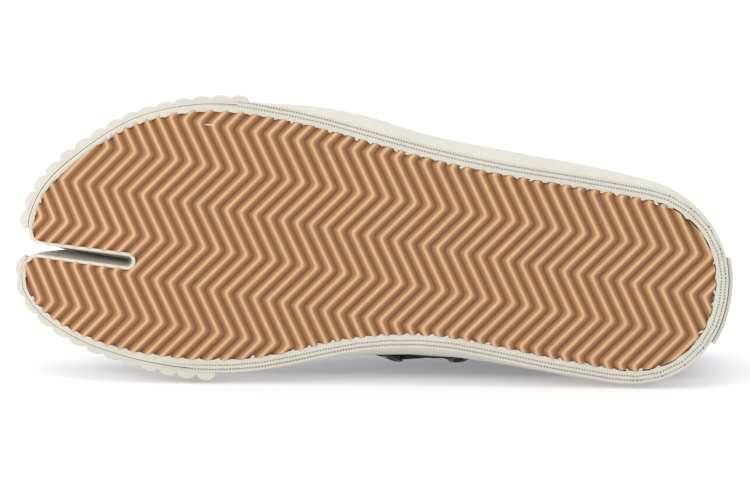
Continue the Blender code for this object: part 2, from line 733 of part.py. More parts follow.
def lace_strap(name, start_x, start_sign, end_x, lift, collection, finish=None):
    """Flat stretch of lace over the tongue, from one eyelet to another."""
    rings = []
    for t in np.linspace(0, 1, LACE_SEGMENTS + 1):
        x = start_x + (end_x - start_x) * t
        start_reach = start_sign * (throat_half_gap(start_x) + EYELET_INSET)
        end_reach = -start_sign * (throat_half_gap(end_x) + EYELET_INSET)
        reach = start_reach + (end_reach - start_reach) * t
        normal = instep_normal(x, reach)
        middle = instep_point(x, reach) + lift * normal
        along = np.array([end_x - start_x, end_reach - start_reach, 0.0])
        across = np.cross(normal, along)
        across *= LACE_WIDTH / 2 / np.linalg.norm(across)
        up = normal * LACE_THICKNESS / 2
        rings.append([middle + across + up, middle - across + up, middle - across - up, middle + across - up])
    return add_object(name, closed_solid(loft(rings, True, False, True)), finish, collection)


def make_lace(collection, cutters):
    first = LACE_STATIONS_X[0]
    lace = lace_strap("lace", first, 1, first, LACE_LIFT - LACE_OVERLIFT / 2, collection, LACE_COTTON)
    for n, (near, far) in enumerate(zip(LACE_STATIONS_X, LACE_STATIONS_X[1:]), 1):
        cut(lace, lace_strap(f"lace_under_{n}", near, 1, far, LACE_LIFT, cutters), "UNION")
        cut(lace, lace_strap(f"lace_over_{n}", near, -1, far, LACE_LIFT + LACE_OVERLIFT, cutters), "UNION")
    return lace


# Lying down

def weigh(pieces):
    """Centre of mass of the pieces, and their corners."""
    moment, mass, corners = Vector(), 0.0, []
    for piece in pieces:
        mesh = evaluated_mesh(piece)
        mesh.calc_loop_triangles()
        corners += [vert.co.copy() for vert in mesh.vertices]
        for triangle in mesh.loop_triangles:
            a, b, c = (mesh.vertices[i].co for i in triangle.vertices)
            share = piece["density"] * a.dot(b.cross(c)) / 6
            moment += share * (a + b + c) / 4
            mass += share
        bpy.data.meshes.remove(mesh)
    return moment / mass, corners


def lay_down(holder, pieces):
    """Turn the shoe on to the flat on its inner side that lies under its weight, sole towards -Y."""
    centre, corners = weigh(pieces)
    hull = bmesh.new()
    for corner in corners:
        hull.verts.new(corner)
    bmesh.ops.convex_hull(hull, input=hull.verts)
    floors = []
    for face in hull.faces:
        height = (face.verts[0].co - centre).dot(face.normal)
        foot = centre + face.normal * height
        if face.normal.y > 0.5 and intersect_point_tri(foot, *(vert.co for vert in face.verts)):
            floors.append((height, face.normal.copy()))
    hull.free()
    _, floor = min(floors, key=lambda item: item[0])
    laid = floor.rotation_difference(Vector((0, 0, -1))).to_matrix()
    sole = laid @ Vector((0, 0, -1))
    turned_round = Matrix.Rotation(math.atan2(-1, 0) - math.atan2(sole.y, sole.x), 3, "Z") @ laid
    placed = np.array([turned_round @ corner for corner in corners])
    low, high = placed.min(axis=0), placed.max(axis=0)
    shift = Vector((-(low[0] + high[0]) / 2, -(low[1] + high[1]) / 2, -low[2]))
    holder.matrix_world = Matrix.Translation(shift) @ turned_round.to_4x4()


for old in list(bpy.data.objects):
    bpy.data.objects.remove(old)
shoe = bpy.data.collections.new("split_toe_sneaker")
guides = bpy.data.collections.new("cutters")
for group in (shoe, guides):
    bpy.context.scene.collection.children.link(group)

sneaker_upper = make_upper(shoe)
sneaker = [sneaker_upper, make_outsole(shoe, guides), make_insole(shoe), make_tongue(shoe)]
sneaker += [make_rand(shoe), make_foxing(shoe), *make_bumpers(shoe), make_heel_patch(shoe)]
sneaker += make_eyelets(sneaker_upper, shoe, guides)
sneaker.append(make_lace(shoe, guides))
for guide in guides.objects:
    guide.hide_render = True
    guide.display_type = "WIRE"

laid_shoe = bpy.data.objects.new("laid_shoe", None)
shoe.objects.link(laid_shoe)
for sneaker_piece in [*sneaker, *guides.objects]:
    sneaker_piece.parent = laid_shoe
lay_down(laid_shoe, sneaker)
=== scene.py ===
import math
import random

import bmesh
import bpy
import numpy as np
from mathutils import Matrix, Vector
from mathutils.bvhtree import BVHTree


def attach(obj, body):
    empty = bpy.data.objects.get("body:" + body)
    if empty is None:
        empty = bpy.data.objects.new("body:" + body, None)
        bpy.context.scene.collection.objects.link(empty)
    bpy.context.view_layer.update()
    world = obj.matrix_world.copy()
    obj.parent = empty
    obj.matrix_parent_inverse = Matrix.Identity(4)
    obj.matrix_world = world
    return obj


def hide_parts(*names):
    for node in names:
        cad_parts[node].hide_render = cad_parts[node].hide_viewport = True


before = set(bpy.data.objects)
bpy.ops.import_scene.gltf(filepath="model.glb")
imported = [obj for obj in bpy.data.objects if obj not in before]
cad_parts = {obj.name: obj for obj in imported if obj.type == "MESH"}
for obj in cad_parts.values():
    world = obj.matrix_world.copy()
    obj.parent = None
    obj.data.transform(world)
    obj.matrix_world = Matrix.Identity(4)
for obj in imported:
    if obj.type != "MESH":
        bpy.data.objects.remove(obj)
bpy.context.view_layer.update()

# Outsole: one sheet of gum rubber, pressed with a herringbone of rounded ribs and cut to the
# split-toe outline. It is cemented under the lasted upper, and its edge is wrapped in white rubber.
# The shoe is worked out upright: heel at +X, inner side at +Y, tread at Z = 0, then laid on its side.
MM = 0.001
MERGE_WITHIN = 0.01
TREAD_MIDDLE = Vector((0.001881, -0.047641, 0.058737))
SOLE_TIPS_BACK, TOES_RISE = math.radians(8.328), math.radians(9.6115)
TOE_SPRING, SPRING_START_X, SPRING_END_X = 15.0, -72.0, -140.0
PAST_TOES, BENT_STEPS = 20.0, 300
TOE_CORNER, CORNER_HALF = (-126.0, -14.0), 22.0
CORNER_TRIM = Vector((0.855, 0.516, 0.0)) * 2.5
OUTSOLE_THICKNESS = 5.0
SHEET_BACK, FACES_UP = OUTSOLE_THICKNESS - 0.6, 0.5
PUNCH_FOOT, PUNCH_HIGH = -5.0, 20.0
RIB_PITCH, RIB_DEPTH = 5.78, 2.2
ZIGZAG_STEP, ZIGZAG_REACH, ZIGZAG_POINT = 16.5, 11.7, (-3.7, -1.2)
BEND_HALF, BEND_PULL = 1.1, 0.45
RIB_FLANK = (
    (0.5, 1.0), (0.43, 0.93), (0.36, 0.79), (0.285, 0.59), (0.21, 0.38), (0.135, 0.17), (0.065, 0.045),
)
RIBS, BENDS = range(-29, 28), range(-4, 6)
# Gum colours by rib height: painted shade darkens the grooves and their feet, and a painted highlight
# lightens the crests.
GUM_GROOVE_PAINTED_SHADE, GUM_FOOT_PAINTED_SHADE = (0.2, 0.088, 0.034), (0.37, 0.18, 0.078)
GUM_FLANK, GUM_CREST_PAINTED_HIGHLIGHT = (0.49, 0.265, 0.125), (0.68, 0.42, 0.232)
GUM_PAINTED_SHADE_TONES = ((0.0, GUM_GROOVE_PAINTED_SHADE), (0.16, GUM_FOOT_PAINTED_SHADE), (0.72, GUM_FLANK), (0.98, GUM_CREST_PAINTED_HIGHLIGHT))
GUM_DULL, GUM_DUST = (0.33, 0.16, 0.075, 1), (0.8, 0.72, 0.6, 1)
GUM_CLOUDS, GUM_SPECKS, GUM_PORES, PORES_DEEP = 90, 1500, 2600, 0.06
GUM_DULLED, GUM_DUSTED, GUM_ROUGH, GUM_ROUGHER = 0.16, 0.5, 0.46, 0.16

lying = (
    Matrix.Translation(TREAD_MIDDLE)
    @ Matrix.Rotation(-math.pi / 2 - SOLE_TIPS_BACK, 4, "X")
    @ Matrix.Rotation(TOES_RISE, 4, "Z")
)
upright = lying.inverted()


def clamped(value):
    return min(1.0, max(0.0, value))


def toe_lift(x):
    """How far the tread bends up at this place along the shoe, all in millimetres."""
    ahead = np.clip((SPRING_START_X - x) / (SPRING_START_X - SPRING_END_X), 0, None)
    return TOE_SPRING * ahead**2


def level_of(place):
    """Height of a place above the bent tread, in millimetres."""
    return place.z / MM - float(toe_lift(place.x / MM))


def trimmed(place):
    """Where a place lies once the outer corner of the small toes is trimmed back."""
    apart = math.hypot(place.x / MM - TOE_CORNER[0], place.y / MM - TOE_CORNER[1])
    return place + CORNER_TRIM * math.exp(-((apart / CORNER_HALF) ** 2)) * MM


def copy_of(node):
    """Merged copy of a solid's mesh, upright in the shoe's own axes."""
    bm = bmesh.new()
    bm.from_mesh(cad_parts[node].data)
    bmesh.ops.remove_doubles(bm, verts=bm.verts, dist=MERGE_WITHIN * MM)
    bmesh.ops.transform(bm, matrix=upright, verts=bm.verts)
    for vert in bm.verts:
        vert.co = trimmed(vert.co)
    return bm


def plain_object(name, bm):
    mesh = bpy.data.meshes.new(name)
    bm.to_mesh(mesh)
    bm.free()
    obj = bpy.data.objects.new(name, mesh)
    bpy.context.scene.collection.objects.link(obj)
    return obj


def take_mesh(obj):
    """Bmesh of a helper object with its modifiers applied. The helper is removed."""
    bpy.context.view_layer.update()
    bm = bmesh.new()
    bm.from_object(obj, bpy.context.evaluated_depsgraph_get())
    bpy.data.objects.remove(obj)
    return bm


def add_piece(name, bm, materials, slot, *stands_for, sharp=None):
    """Lays a piece down with the shoe and lets it ride on the shoe's one body."""
    bmesh.ops.transform(bm, matrix=lying, verts=bm.verts)
    obj = plain_object(name, bm)
    for material in materials:
        obj.data.materials.append(material)
    obj.data.shade_smooth()
    if sharp:
        obj.data.set_sharp_from_angle(angle=math.radians(sharp))
    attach(obj, "root")
    if stands_for:
        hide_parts(*stands_for)


def corners_in(geometry):
    return [item for item in geometry if isinstance(item, bmesh.types.BMVert)]


def grow_row(bm, edges):
    """Draws a row of edges out into a new row, and gives its corners and its edges."""
    grown = bmesh.ops.extrude_edge_only(bm, edges=edges)["geom"]
    corners = corners_in(grown)
    ends = set(corners)
    drawn = [item for item in grown if isinstance(item, bmesh.types.BMEdge)]
    return corners, [edge for edge in drawn if set(edge.verts) <= ends]


class Wire:
    """A shader value. Sums of wires add Math nodes, and node() adds any other node."""

    def __init__(self, tree, socket=None):
        self.tree, self.socket = tree, socket

    def node(self, kind, settings=None, inputs=None, out=0):
        made = self.tree.nodes.new("ShaderNode" + kind)
        for name, value in (settings or {}).items():
            if name == "stops":
                ramp = made.color_ramp.elements
                for i, (place, colour) in enumerate(value):
                    stop = ramp[i] if i < len(ramp) else ramp.new(place)
                    stop.position, stop.color = place, (*colour, 1.0)
            else:
                setattr(made, name, value)
        for name, value in (inputs or {}).items():
            if isinstance(value, Wire):
                self.tree.links.new(value.socket, made.inputs[name])
            else:
                made.inputs[name].default_value = value
        return Wire(self.tree, made.outputs[out] if made.outputs else None)

    def math(self, operation, *values):
        return self.node("Math", {"operation": operation}, dict(enumerate(values)))

    def __add__(self, other):
        return self.math("ADD", self, other)

    def __sub__(self, other):
        return self.math("SUBTRACT", self, other)

    def __rsub__(self, other):
        return self.math("SUBTRACT", other, self)

    def __mul__(self, other):
        return self.math("MULTIPLY", self, other)

    __radd__ = __add__

    def between(self, low, high):
        """This value's place between two limits, eased."""
        limits = {1: low, 2: high, 3: 0.0, 4: 1.0}
        return self.node("MapRange", {"interpolation_type": "SMOOTHSTEP"}, {0: self, **limits})

    def mix(self, one, two):
        """Two colours mixed by this value."""
        colours = {0: self, 6: one, 7: two}
        return self.node("Mix", {"data_type": "RGBA", "clamp_factor": True}, colours, 2)

    def noise(self, scale, detail, roughness=0.55):
        """Cloudy noise with this many swirls to a metre."""
        grain = {"Scale": scale, "Detail": detail, "Roughness": roughness}
        return self.node("TexNoise", None, {"Vector": self.shoe_places(), **grain})

    def shoe_places(self):
        """Places on the piece in the upright shoe's axes."""
        places = self.node("TexCoord", None, None, "Object")
        turn = {"Location": upright.translation, "Rotation": upright.to_euler()}
        return self.node("Mapping", None, {"Vector": places, **turn})

    def shoe_axis(self, axis):
        return self.node("SeparateXYZ", None, {0: self.shoe_places()}, axis)

    def attribute(self, name):
        return self.node("Attribute", {"attribute_name": name}, None, "Fac")

    def bump(self, height, distance, strength=1.0):
        return self.node("Bump", None, {"Height": height, "Distance": distance, "Strength": strength})


def new_finish(name):
    material = bpy.data.materials.new(name)
    material.use_nodes = True
    material.node_tree.nodes.clear()
    return material, Wire(material.node_tree)


def coat(wire, colour, roughness, **others):
    """Ends a finish with its Principled shader."""
    inputs = {"Base Color": colour, "Roughness": roughness}
    inputs.update({name.replace("_", " "): value for name, value in others.items()})
    shader = wire.node("BsdfPrincipled", None, inputs)
    wire.node("OutputMaterial", None, {"Surface": shader})


bent_x = np.linspace(SPRING_START_X, SPRING_END_X - PAST_TOES, BENT_STEPS)
bent_run = np.hypot(np.diff(bent_x), np.diff(toe_lift(bent_x))).cumsum()
flat_x = np.concatenate([[SPRING_START_X], SPRING_START_X - bent_run])


def flat_to_plan(x):
    """Where a place on the flat sheet comes to lie once the toes are bent up."""
    return np.where(x > SPRING_START_X, x, np.interp(x, flat_x[::-1], bent_x[::-1]))


def plan_to_flat(x):
    return np.where(x > SPRING_START_X, x, np.interp(x, bent_x[::-1], flat_x[::-1]))


def zigzag_x(y):
    """How far along the shoe the zigzag stands at a place across it."""
    step = np.abs((((y - ZIGZAG_POINT[1]) / ZIGZAG_STEP) % 2.0))
    return ZIGZAG_POINT[0] + ZIGZAG_REACH * np.minimum(step, 2.0 - step)


def groove_share(x, y):
    """0 on the crest of a rib and 1 in the middle of a groove."""
    turn = ((plan_to_flat(x) - zigzag_x(y)) / RIB_PITCH) % 1.0
    return 1.0 - np.abs(1.0 - 2.0 * turn)


tread = bmesh.new()
section = [*RIB_FLANK, (0.0, 0.0), *[(-share, deep) for share, deep in reversed(RIB_FLANK)]]
for rib in RIBS:
    corners = [((rib - share) * RIB_PITCH * MM, 0, deep * RIB_DEPTH * MM) for share, deep in section]
    row = [tread.verts.new(corner) for corner in corners]
    for one, two in zip(row, row[1:]):
        tread.edges.new((one, two))
bmesh.ops.remove_doubles(tread, verts=tread.verts, dist=MERGE_WITHIN * MM)
path = []
for bend in BENDS:
    corner_x = ZIGZAG_POINT[0] + ZIGZAG_REACH * (bend % 2)
    corner_y = ZIGZAG_POINT[1] + ZIGZAG_STEP * bend
    back = BEND_HALF * ZIGZAG_REACH / ZIGZAG_STEP * (1 if bend % 2 == 0 else -1)
    for y, share in ((-BEND_HALF, 1.0), (0.0, BEND_PULL), (BEND_HALF, 1.0)):
        path.append(Vector((corner_x + back * share, corner_y + y, 0)) * MM)
bmesh.ops.translate(tread, verts=tread.verts, vec=path[0])
front = list(tread.edges)
for here, there in zip(path, path[1:]):
    corners, front = grow_row(tread, front)
    bmesh.ops.translate(tread, verts=corners, vec=there - here)
for vert in tread.verts:
    vert.co.x = float(flat_to_plan(vert.co.x / MM)) * MM
for vert in corners_in(bmesh.ops.extrude_face_region(tread, geom=list(tread.faces))["geom"]):
    vert.co.z = OUTSOLE_THICKNESS * MM
bmesh.ops.recalc_face_normals(tread, faces=tread.faces)

punch = copy_of("outsole")
punch.normal_update()
unwanted = [
    face for face in punch.faces
    if face.normal.z <= FACES_UP or min(level_of(vert.co) for vert in face.verts) <= SHEET_BACK
]
bmesh.ops.delete(punch, geom=unwanted, context="FACES")
outline_edges = [edge for edge in punch.edges if edge.is_boundary]
for vert in punch.verts:
    vert.co.z = PUNCH_FOOT * MM


def in_order(edges):
    """Corners of the longest closed loop among these edges, one after another."""
    beside, loops = {}, []
    for edge in edges:
        for vert in edge.verts:
            beside.setdefault(vert, []).append(edge)
    unused = set(edges)
    while unused:
        edge = next(one for one in edges if one in unused)
        order = [edge.verts[0]]
        while edge:
            unused.discard(edge)
            order.append(edge.other_vert(order[-1]))
            edge = next((one for one in beside[order[-1]] if one in unused), None)
        loops.append(order[:-1])
    return max(loops, key=len)


outline = np.array([vert.co[:2] for vert in in_order(outline_edges)]) / MM
face = bmesh.ops.dissolve_faces(punch, faces=list(punch.faces))["region"][0]
raised = corners_in(bmesh.ops.extrude_face_region(punch, geom=[face])["geom"])
bmesh.ops.translate(punch, verts=raised, vec=(0, 0, PUNCH_HIGH * MM))
bmesh.ops.recalc_face_normals(punch, faces=punch.faces)
tread_sheet, outline_punch = plain_object("tread_sheet", tread), plain_object("outline_punch", punch)
stamp = tread_sheet.modifiers.new("outline", "BOOLEAN")
stamp.operation, stamp.solver, stamp.object = "INTERSECT", "EXACT", outline_punch
tread = take_mesh(tread_sheet)
bpy.data.objects.remove(outline_punch)
rib_height = tread.verts.layers.float.new("rib_height")
for vert in tread.verts:
    vert[rib_height] = 1.0 - clamped(vert.co.z / MM / RIB_DEPTH)
    vert.co.z += float(toe_lift(vert.co.x / MM)) * MM

gum, wire = new_finish("gum_rubber_tread")
# The tread's colour follows rib height: painted shade in the grooves, a painted highlight along the
# crests.
tone = wire.node("ValToRGB", {"stops": GUM_PAINTED_SHADE_TONES}, {0: wire.attribute("rib_height")})
cloud = wire.noise(GUM_CLOUDS, 4).between(0.3, 0.7)
dulled = (cloud * GUM_DULLED).mix(tone, GUM_DULL)
speck = wire.noise(GUM_SPECKS, 1).between(0.74, 0.8)
dusty = (speck * GUM_DUSTED).mix(dulled, GUM_DUST)
pores = wire.bump(wire.noise(GUM_PORES, 2), PORES_DEEP * MM)
coat(wire, dusty, GUM_ROUGH + cloud * GUM_ROUGHER, Normal=pores, Specular_IOR_Level=0.42)
add_piece("tread", tread, [gum], "gum_rubber", "outsole", sharp=50)

# Rand: a strip of off-white rubber wrapped round the edge of the sole and folded into the toe slot.
# Pressed on hot, it squeezes into the ends of the grooves, and a wheel leaves a dotted line on it.
RAND_LINE_AT, DOT_PITCH, DOT_HALF, DOT_LEVELS = 2.15, 1.15, (0.16, 0.4), (1.0, 1.5)
DOTS_START_X, DOTS_FULL_X = -85.0, -50.0
SQUEEZE_WIDE, SQUEEZE_HIGH, SQUEEZE_BASE, SQUEEZE_DEEP = 1.0, 2.2, 0.75, 1.2
SQUEEZE_MEAN, SQUEEZE_SWING, RIPPLES = 0.75, 0.22, ((1.9, 0.7), (0.53, -1.3))
TOE_LAP, LAP_FROM_X, LAP_EASE = 0.45, -50.0, 25.0
SLOT_END, SLOT_DRIFT, SLOT_BEHIND, SLOT_HALF = (-97.3, 26.4), -0.022, 5.0, 4.0
LIPS_HALF, FLASH_FREE_HALF, SIDEWAYS = 6.0, 5.5, 0.2
SLOT_PINCH, PINCH_FREE, PINCH_LEFT = 3.4, 0.2, 0.03
PINCH_LEVEL, PINCH_EASE, MOUTH_X, MOUTH_EASE = 3.0, 13.0, -140.0, 16.0
MOST_BACK, ROUND_PASSES = 0.5, 2
JOIN_LIMITS = {"angle_face_threshold": math.radians(40), "angle_shape_threshold": math.radians(110)}
INNER_HUG = (57.0, 73.0, 95.0, 112.0, 130.0), (0.0, 0.1, 0.43, 0.47, 0.46)
OUTER_HUG = (45.0, 62.0, 85.0, 102.0, 118.0, 132.0), (0.0, 0.24, 0.38, 0.46, 0.38, 0.18)
HUG_LOST_AT_TOP, RUBBER_HIGH = 0.42, 20.0
FLASH_SEED, FLASH_STEP, FLASH_SHARE, FLASH_BESIDE = 7, 0.3, 0.75, 3
FLASH_LEVEL, FLASH_IN, FLASH_ALONG, FLASH_TURN = (0.7, 1.3), (-0.25, 0.45), (-0.5, 0.5), (-0.6, 0.6)
FLASH_SIZES = (0.7, 1.6), (0.35, 0.75), (0.4, 0.8)
CURL_AT, CURL_TURN, CURL_SIZE = Vector((-74.1, -33.9, 0.1)), math.radians(-4), (2.1, 0.28, 0.35, 1)
RUBBER_WHITE, RUBBER_SHADE = (0.63, 0.61, 0.535, 1), (0.56, 0.535, 0.45, 1)
RUBBER_DIRT, DOT_DARK = (0.2, 0.13, 0.075, 1), (0.2, 0.165, 0.11, 1)
RUBBER_CLOUDS, RUBBER_FLECKS, FLECK_PATCHES, RUBBER_SMUDGES, RUBBER_GRAINS = 45, 700, 60, 520, 1800
CLOUDED, FLECKED, SMUDGED, DOTTED = 0.5, 0.5, 0.22, 0.95
GRAIN_DEEP, GRAIN_SHARE, DOT_SHARE, GRAIN_STRENGTH = 0.2, 0.6, 1.6, 0.7
RUBBER_ROUGH, RUBBER_ROUGHER = 0.5, 0.12


def round_off(bm, levels):
    """Rounded surface that still runs through the corners of a faceted mesh."""
    obj = plain_object("rounding", bm)
    surface = obj.modifiers.new("surface", "SUBSURF")
    surface.levels = surface.render_levels = levels
    aims = [vert.co.copy() for vert in obj.data.vertices]
    for _ in range(ROUND_PASSES):
        bpy.context.view_layer.update()
        seen = obj.evaluated_get(bpy.context.evaluated_depsgraph_get()).data
        reached = [seen.vertices[i].co.copy() for i in range(len(aims))]
        for vert, aim, at in zip(obj.data.vertices, aims, reached):
            back = aim - at
            vert.co += back * min(1.0, MOST_BACK * MM / max(back.length, 1e-9))
        obj.data.update()
    return take_mesh(obj)


def smoothed(node, levels, sharp=55, hollow=30):
    """Rounded copy of a faceted solid. Its corners and its grooves stay crisp."""
    bm = copy_of(node)
    bmesh.ops.join_triangles(bm, faces=bm.faces, **JOIN_LIMITS)
    crease = bm.edges.layers.float.new("crease_edge")
    for edge in bm.edges:
        turn = math.degrees(edge.calc_face_angle_signed(0.0))
        edge[crease] = 1.0 if turn > sharp or turn < -hollow else 0.0
    return round_off(bm, levels)


def seen_from_below(bm):
    """Corners of a mesh as flat places, in millimetres."""
    return np.array([vert.co[:2] for vert in bm.verts]) / MM


def flat_way(vert):
    """Which way a corner of a mesh faces, as seen from below."""
    return Vector((vert.normal.x, vert.normal.y, 0))


def nearest_on_outline(points):
    """For places seen from below: how far the tread's outline is, how far along it, and the way to it."""
    starts, ends = outline, np.roll(outline, -1, axis=0)
    spans = ends - starts
    lengths = np.linalg.norm(spans, axis=1)
    run = np.concatenate([[0], np.cumsum(lengths)[:-1]])
    away, along, ways = np.empty(len(points)), np.empty(len(points)), np.empty((len(points), 2))
    for i, point in enumerate(points):
        share = np.clip(((point - starts) * spans).sum(1) / np.maximum(lengths, 1e-9) ** 2, 0, 1)
        gaps = starts + spans * share[:, None] - point
        best = int(np.argmin((gaps**2).sum(1)))
        away[i], along[i] = np.hypot(*gaps[best]), run[best] + share[best] * lengths[best]
        ways[i] = gaps[best]
    return away, along, ways


def hug_toes(bm):
    """Draws the layers of rubber in towards the gum round the toes, most of all at their feet."""
    ways = nearest_on_outline(seen_from_below(bm))[2]
    for vert, way in zip(bm.verts, ways):
        x, y = vert.co.x / MM, vert.co.y / MM
        share = float(np.interp(-x, *(INNER_HUG if y > SLOT_END[1] else OUTER_HUG)))
        lost = HUG_LOST_AT_TOP * clamped(level_of(vert.co) / RUBBER_HIGH)
        vert.co += Vector((way[0], way[1], 0)) * share * (1.0 - lost) * MM


def mark_strip(bm):
    """Writes on each corner how far it is from the gum, along the edge and above the tread."""
    away, along, _ = nearest_on_outline(seen_from_below(bm))
    across_layer, along_layer, level_layer = (
        bm.verts.layers.float.new(name) for name in ("across", "along", "level")
    )
    for vert, out, run in zip(bm.verts, away, along):
        vert[across_layer], vert[along_layer], vert[level_layer] = out, run, level_of(vert.co)
    return away


def in_slot(x, y, half):
    """Whether a place lies in the toe slot or this near to it."""
    return abs(y - SLOT_END[1]) < half and x < SLOT_END[0] + SLOT_BEHIND


rand = smoothed("rand", 3)
hug_toes(rand)
gum_gap = mark_strip(rand)
rand.normal_update()
levels = [level_of(vert.co) for vert in rand.verts]
for vert, away, level in zip(rand.verts, gum_gap, levels):
    inward = flat_way(vert)
    if away < SQUEEZE_WIDE and level < SQUEEZE_HIGH and inward.length > SIDEWAYS:
        x, y = vert.co.x / MM, vert.co.y / MM
        ripple = sum(math.sin(x * a + y * b) for a, b in RIPPLES)
        deep = lap = 0.0
        if not in_slot(x, y, LIPS_HALF):
            deep = SQUEEZE_DEEP * float(groove_share(x, y)) ** 2
            lap = TOE_LAP * clamped((LAP_FROM_X - x) / LAP_EASE) if y < SLOT_END[1] else 0.0
        into = SQUEEZE_BASE + lap + deep * (SQUEEZE_MEAN + SQUEEZE_SWING * ripple)
        fade = (1.0 - away / SQUEEZE_WIDE) * (1.0 - level / SQUEEZE_HIGH)
        vert.co += inward.normalized() * into * max(0.0, fade) * MM

for vert, level in zip(rand.verts, levels):
    x, y = vert.co.x / MM, vert.co.y / MM
    past = x - SLOT_END[0]
    off = Vector((max(0.0, past), y - SLOT_END[1] - SLOT_DRIFT * past, 0))
    if PINCH_FREE < off.length < SLOT_HALF and level > PINCH_LEVEL:
        ease = clamped((level - PINCH_LEVEL) / PINCH_EASE) * clamped((x - MOUTH_X) / MOUTH_EASE)
        vert.co -= off.normalized() * min(SLOT_PINCH, off.length - PINCH_LEFT) * ease * MM

flash = random.Random(FLASH_SEED)
spans = np.roll(outline, -1, axis=0) - outline
steps = np.array([
    start + span * share
    for start, span in zip(outline, spans)
    for share in np.arange(0, 1, FLASH_STEP / max(FLASH_STEP, np.hypot(*span)))
])
shares = groove_share(steps[:, 0], steps[:, 1])
turning = (outline[:, 0] * spans[:, 1] - outline[:, 1] * spans[:, 0]).sum()
for i, step in enumerate(steps):
    deepest = shares[i] >= shares[i - 1] and shares[i] > shares[(i + 1) % len(steps)]
    if deepest and shares[i] > FLASH_SHARE and not in_slot(*step, FLASH_FREE_HALF):
        before, after = steps[i - FLASH_BESIDE], steps[(i + FLASH_BESIDE) % len(steps)]
        onward = Vector((*(after - before), 0)).normalized()
        inward = Vector((-onward.y, onward.x, 0)) * (1 if turning > 0 else -1)
        level = float(toe_lift(step[0])) + flash.uniform(*FLASH_LEVEL)
        place = Vector((*step, level))
        place = place + inward * flash.uniform(*FLASH_IN) + onward * flash.uniform(*FLASH_ALONG)
        sizes = Matrix.Diagonal((*[flash.uniform(*limits) for limits in FLASH_SIZES], 1))
        turn = Matrix((onward, inward, (0, 0, 1))).transposed().to_4x4()
        turn = turn @ Matrix.Rotation(flash.uniform(*FLASH_TURN), 4, "Z")
        lump = Matrix.Translation(place * MM) @ turn @ sizes
        bmesh.ops.create_icosphere(rand, subdivisions=2, radius=MM, matrix=lump)
curl = Matrix.Translation(CURL_AT * MM) @ Matrix.Rotation(CURL_TURN, 4, "Z") @ Matrix.Diagonal(CURL_SIZE)
bmesh.ops.create_icosphere(rand, subdivisions=2, radius=MM, matrix=curl)


def white_rubber(name, dotted_at):
    """Off-white rubber, a little clouded and flecked, with a dotted line this far from the gum."""
    material, wire = new_finish(name)
    cloud = wire.noise(RUBBER_CLOUDS, 5).between(0.35, 0.75)
    tone = (cloud * CLOUDED).mix(RUBBER_WHITE, RUBBER_SHADE)
    patches = wire.noise(FLECK_PATCHES, 2).between(0.45, 0.6)
    fleck = wire.noise(RUBBER_FLECKS, 2).between(0.7, 0.78) * patches
    tone = (fleck * FLECKED).mix(tone, RUBBER_DIRT)
    grain = wire.noise(RUBBER_GRAINS, 3) * GRAIN_SHARE
    if dotted_at is not None:
        smudge = wire.noise(RUBBER_SMUDGES, 4, 0.7).between(0.52, 0.8)
        tone = (smudge * SMUDGED).mix(tone, RUBBER_DIRT)
        off = wire.math("ABSOLUTE", wire.attribute("across") - dotted_at)
        line = 1.0 - off.between(*DOT_HALF)
        swing = wire.math("SINE", wire.attribute("along") * (2 * math.pi / DOT_PITCH))
        behind_toes = wire.shoe_axis(0).between(DOTS_START_X * MM, DOTS_FULL_X * MM)
        dots = line * (swing * 0.5 + 0.5) * behind_toes
        dots = dots * (1.0 - wire.attribute("level").between(*DOT_LEVELS))
        tone = (dots * DOTTED).mix(tone, DOT_DARK)
        grain = grain - dots * DOT_SHARE
    pits = wire.bump(grain, GRAIN_DEEP * MM, GRAIN_STRENGTH)
    coat(wire, tone, RUBBER_ROUGH + cloud * RUBBER_ROUGHER, Normal=pits, Specular_IOR_Level=0.4)
    return material


rand_rubber = white_rubber("rand_rubber", RAND_LINE_AT)
add_piece("rand_band", rand, [rand_rubber], "off_white_rubber", "rand", sharp=40)

# Foxing: the outer tape of off-white rubber, rolled on round the side from one side of the toe slot
# to the other. Its foot shows as a thin second layer outside the rand.
FOXING_LINE_AT = 3.9
FOOT_WIDE, FOOT_HIGH, FOOT_FROM_X, FOOT_IN = 4.2, 4.0, -64.0, 0.27
WAIST_IN, WAIST_AT, WAIST_HALF = 2.7, 37.0, 21.5
SIDE_OUT, SIDE_AT, SIDE_HALF = 2.4, -23.0, 27.0
WAIST_LEVELS = (9.0, 24.0, 50.0, 62.0), (0.0, 1.0, 0.85, 0.0)
SIDE_LEVELS = (4.0, 22.0, 30.0, 44.0), (0.0, 1.0, 0.85, 0.0)
MIDDLE_KEPT, MIDDLE_EASE = 10.0, 15.0


def settled(place):
    """Where a place on the sides comes to lie: the worn waist draws in, and the outer side leans out."""
    x, y, z = place / MM
    if y > 0:
        lean = -WAIST_IN * math.exp(-(((x - WAIST_AT) / WAIST_HALF) ** 2))
        lean *= float(np.interp(z, *WAIST_LEVELS))
    else:
        lean = -SIDE_OUT * math.exp(-(abs((x - SIDE_AT) / SIDE_HALF) ** 3))
        lean *= float(np.interp(z, *SIDE_LEVELS))
    return place + Vector((0, lean * clamped((abs(y) - MIDDLE_KEPT) / MIDDLE_EASE), 0)) * MM


foxing = smoothed("foxing", 3)
hug_toes(foxing)
for vert in foxing.verts:
    vert.co = settled(vert.co)
foxing.normal_update()
for vert, away in zip(foxing.verts, mark_strip(foxing)):
    inward = flat_way(vert)
    at_foot = away < FOOT_WIDE and level_of(vert.co) < FOOT_HIGH and vert.co.x > FOOT_FROM_X * MM
    if at_foot and inward.length > SIDEWAYS:
        vert.co += inward.normalized() * FOOT_IN * MM
side_rubber = white_rubber("side_rubber", FOXING_LINE_AT)
add_piece("foxing_tape", foxing, [side_rubber], "off_white_rubber", "foxing", sharp=40)

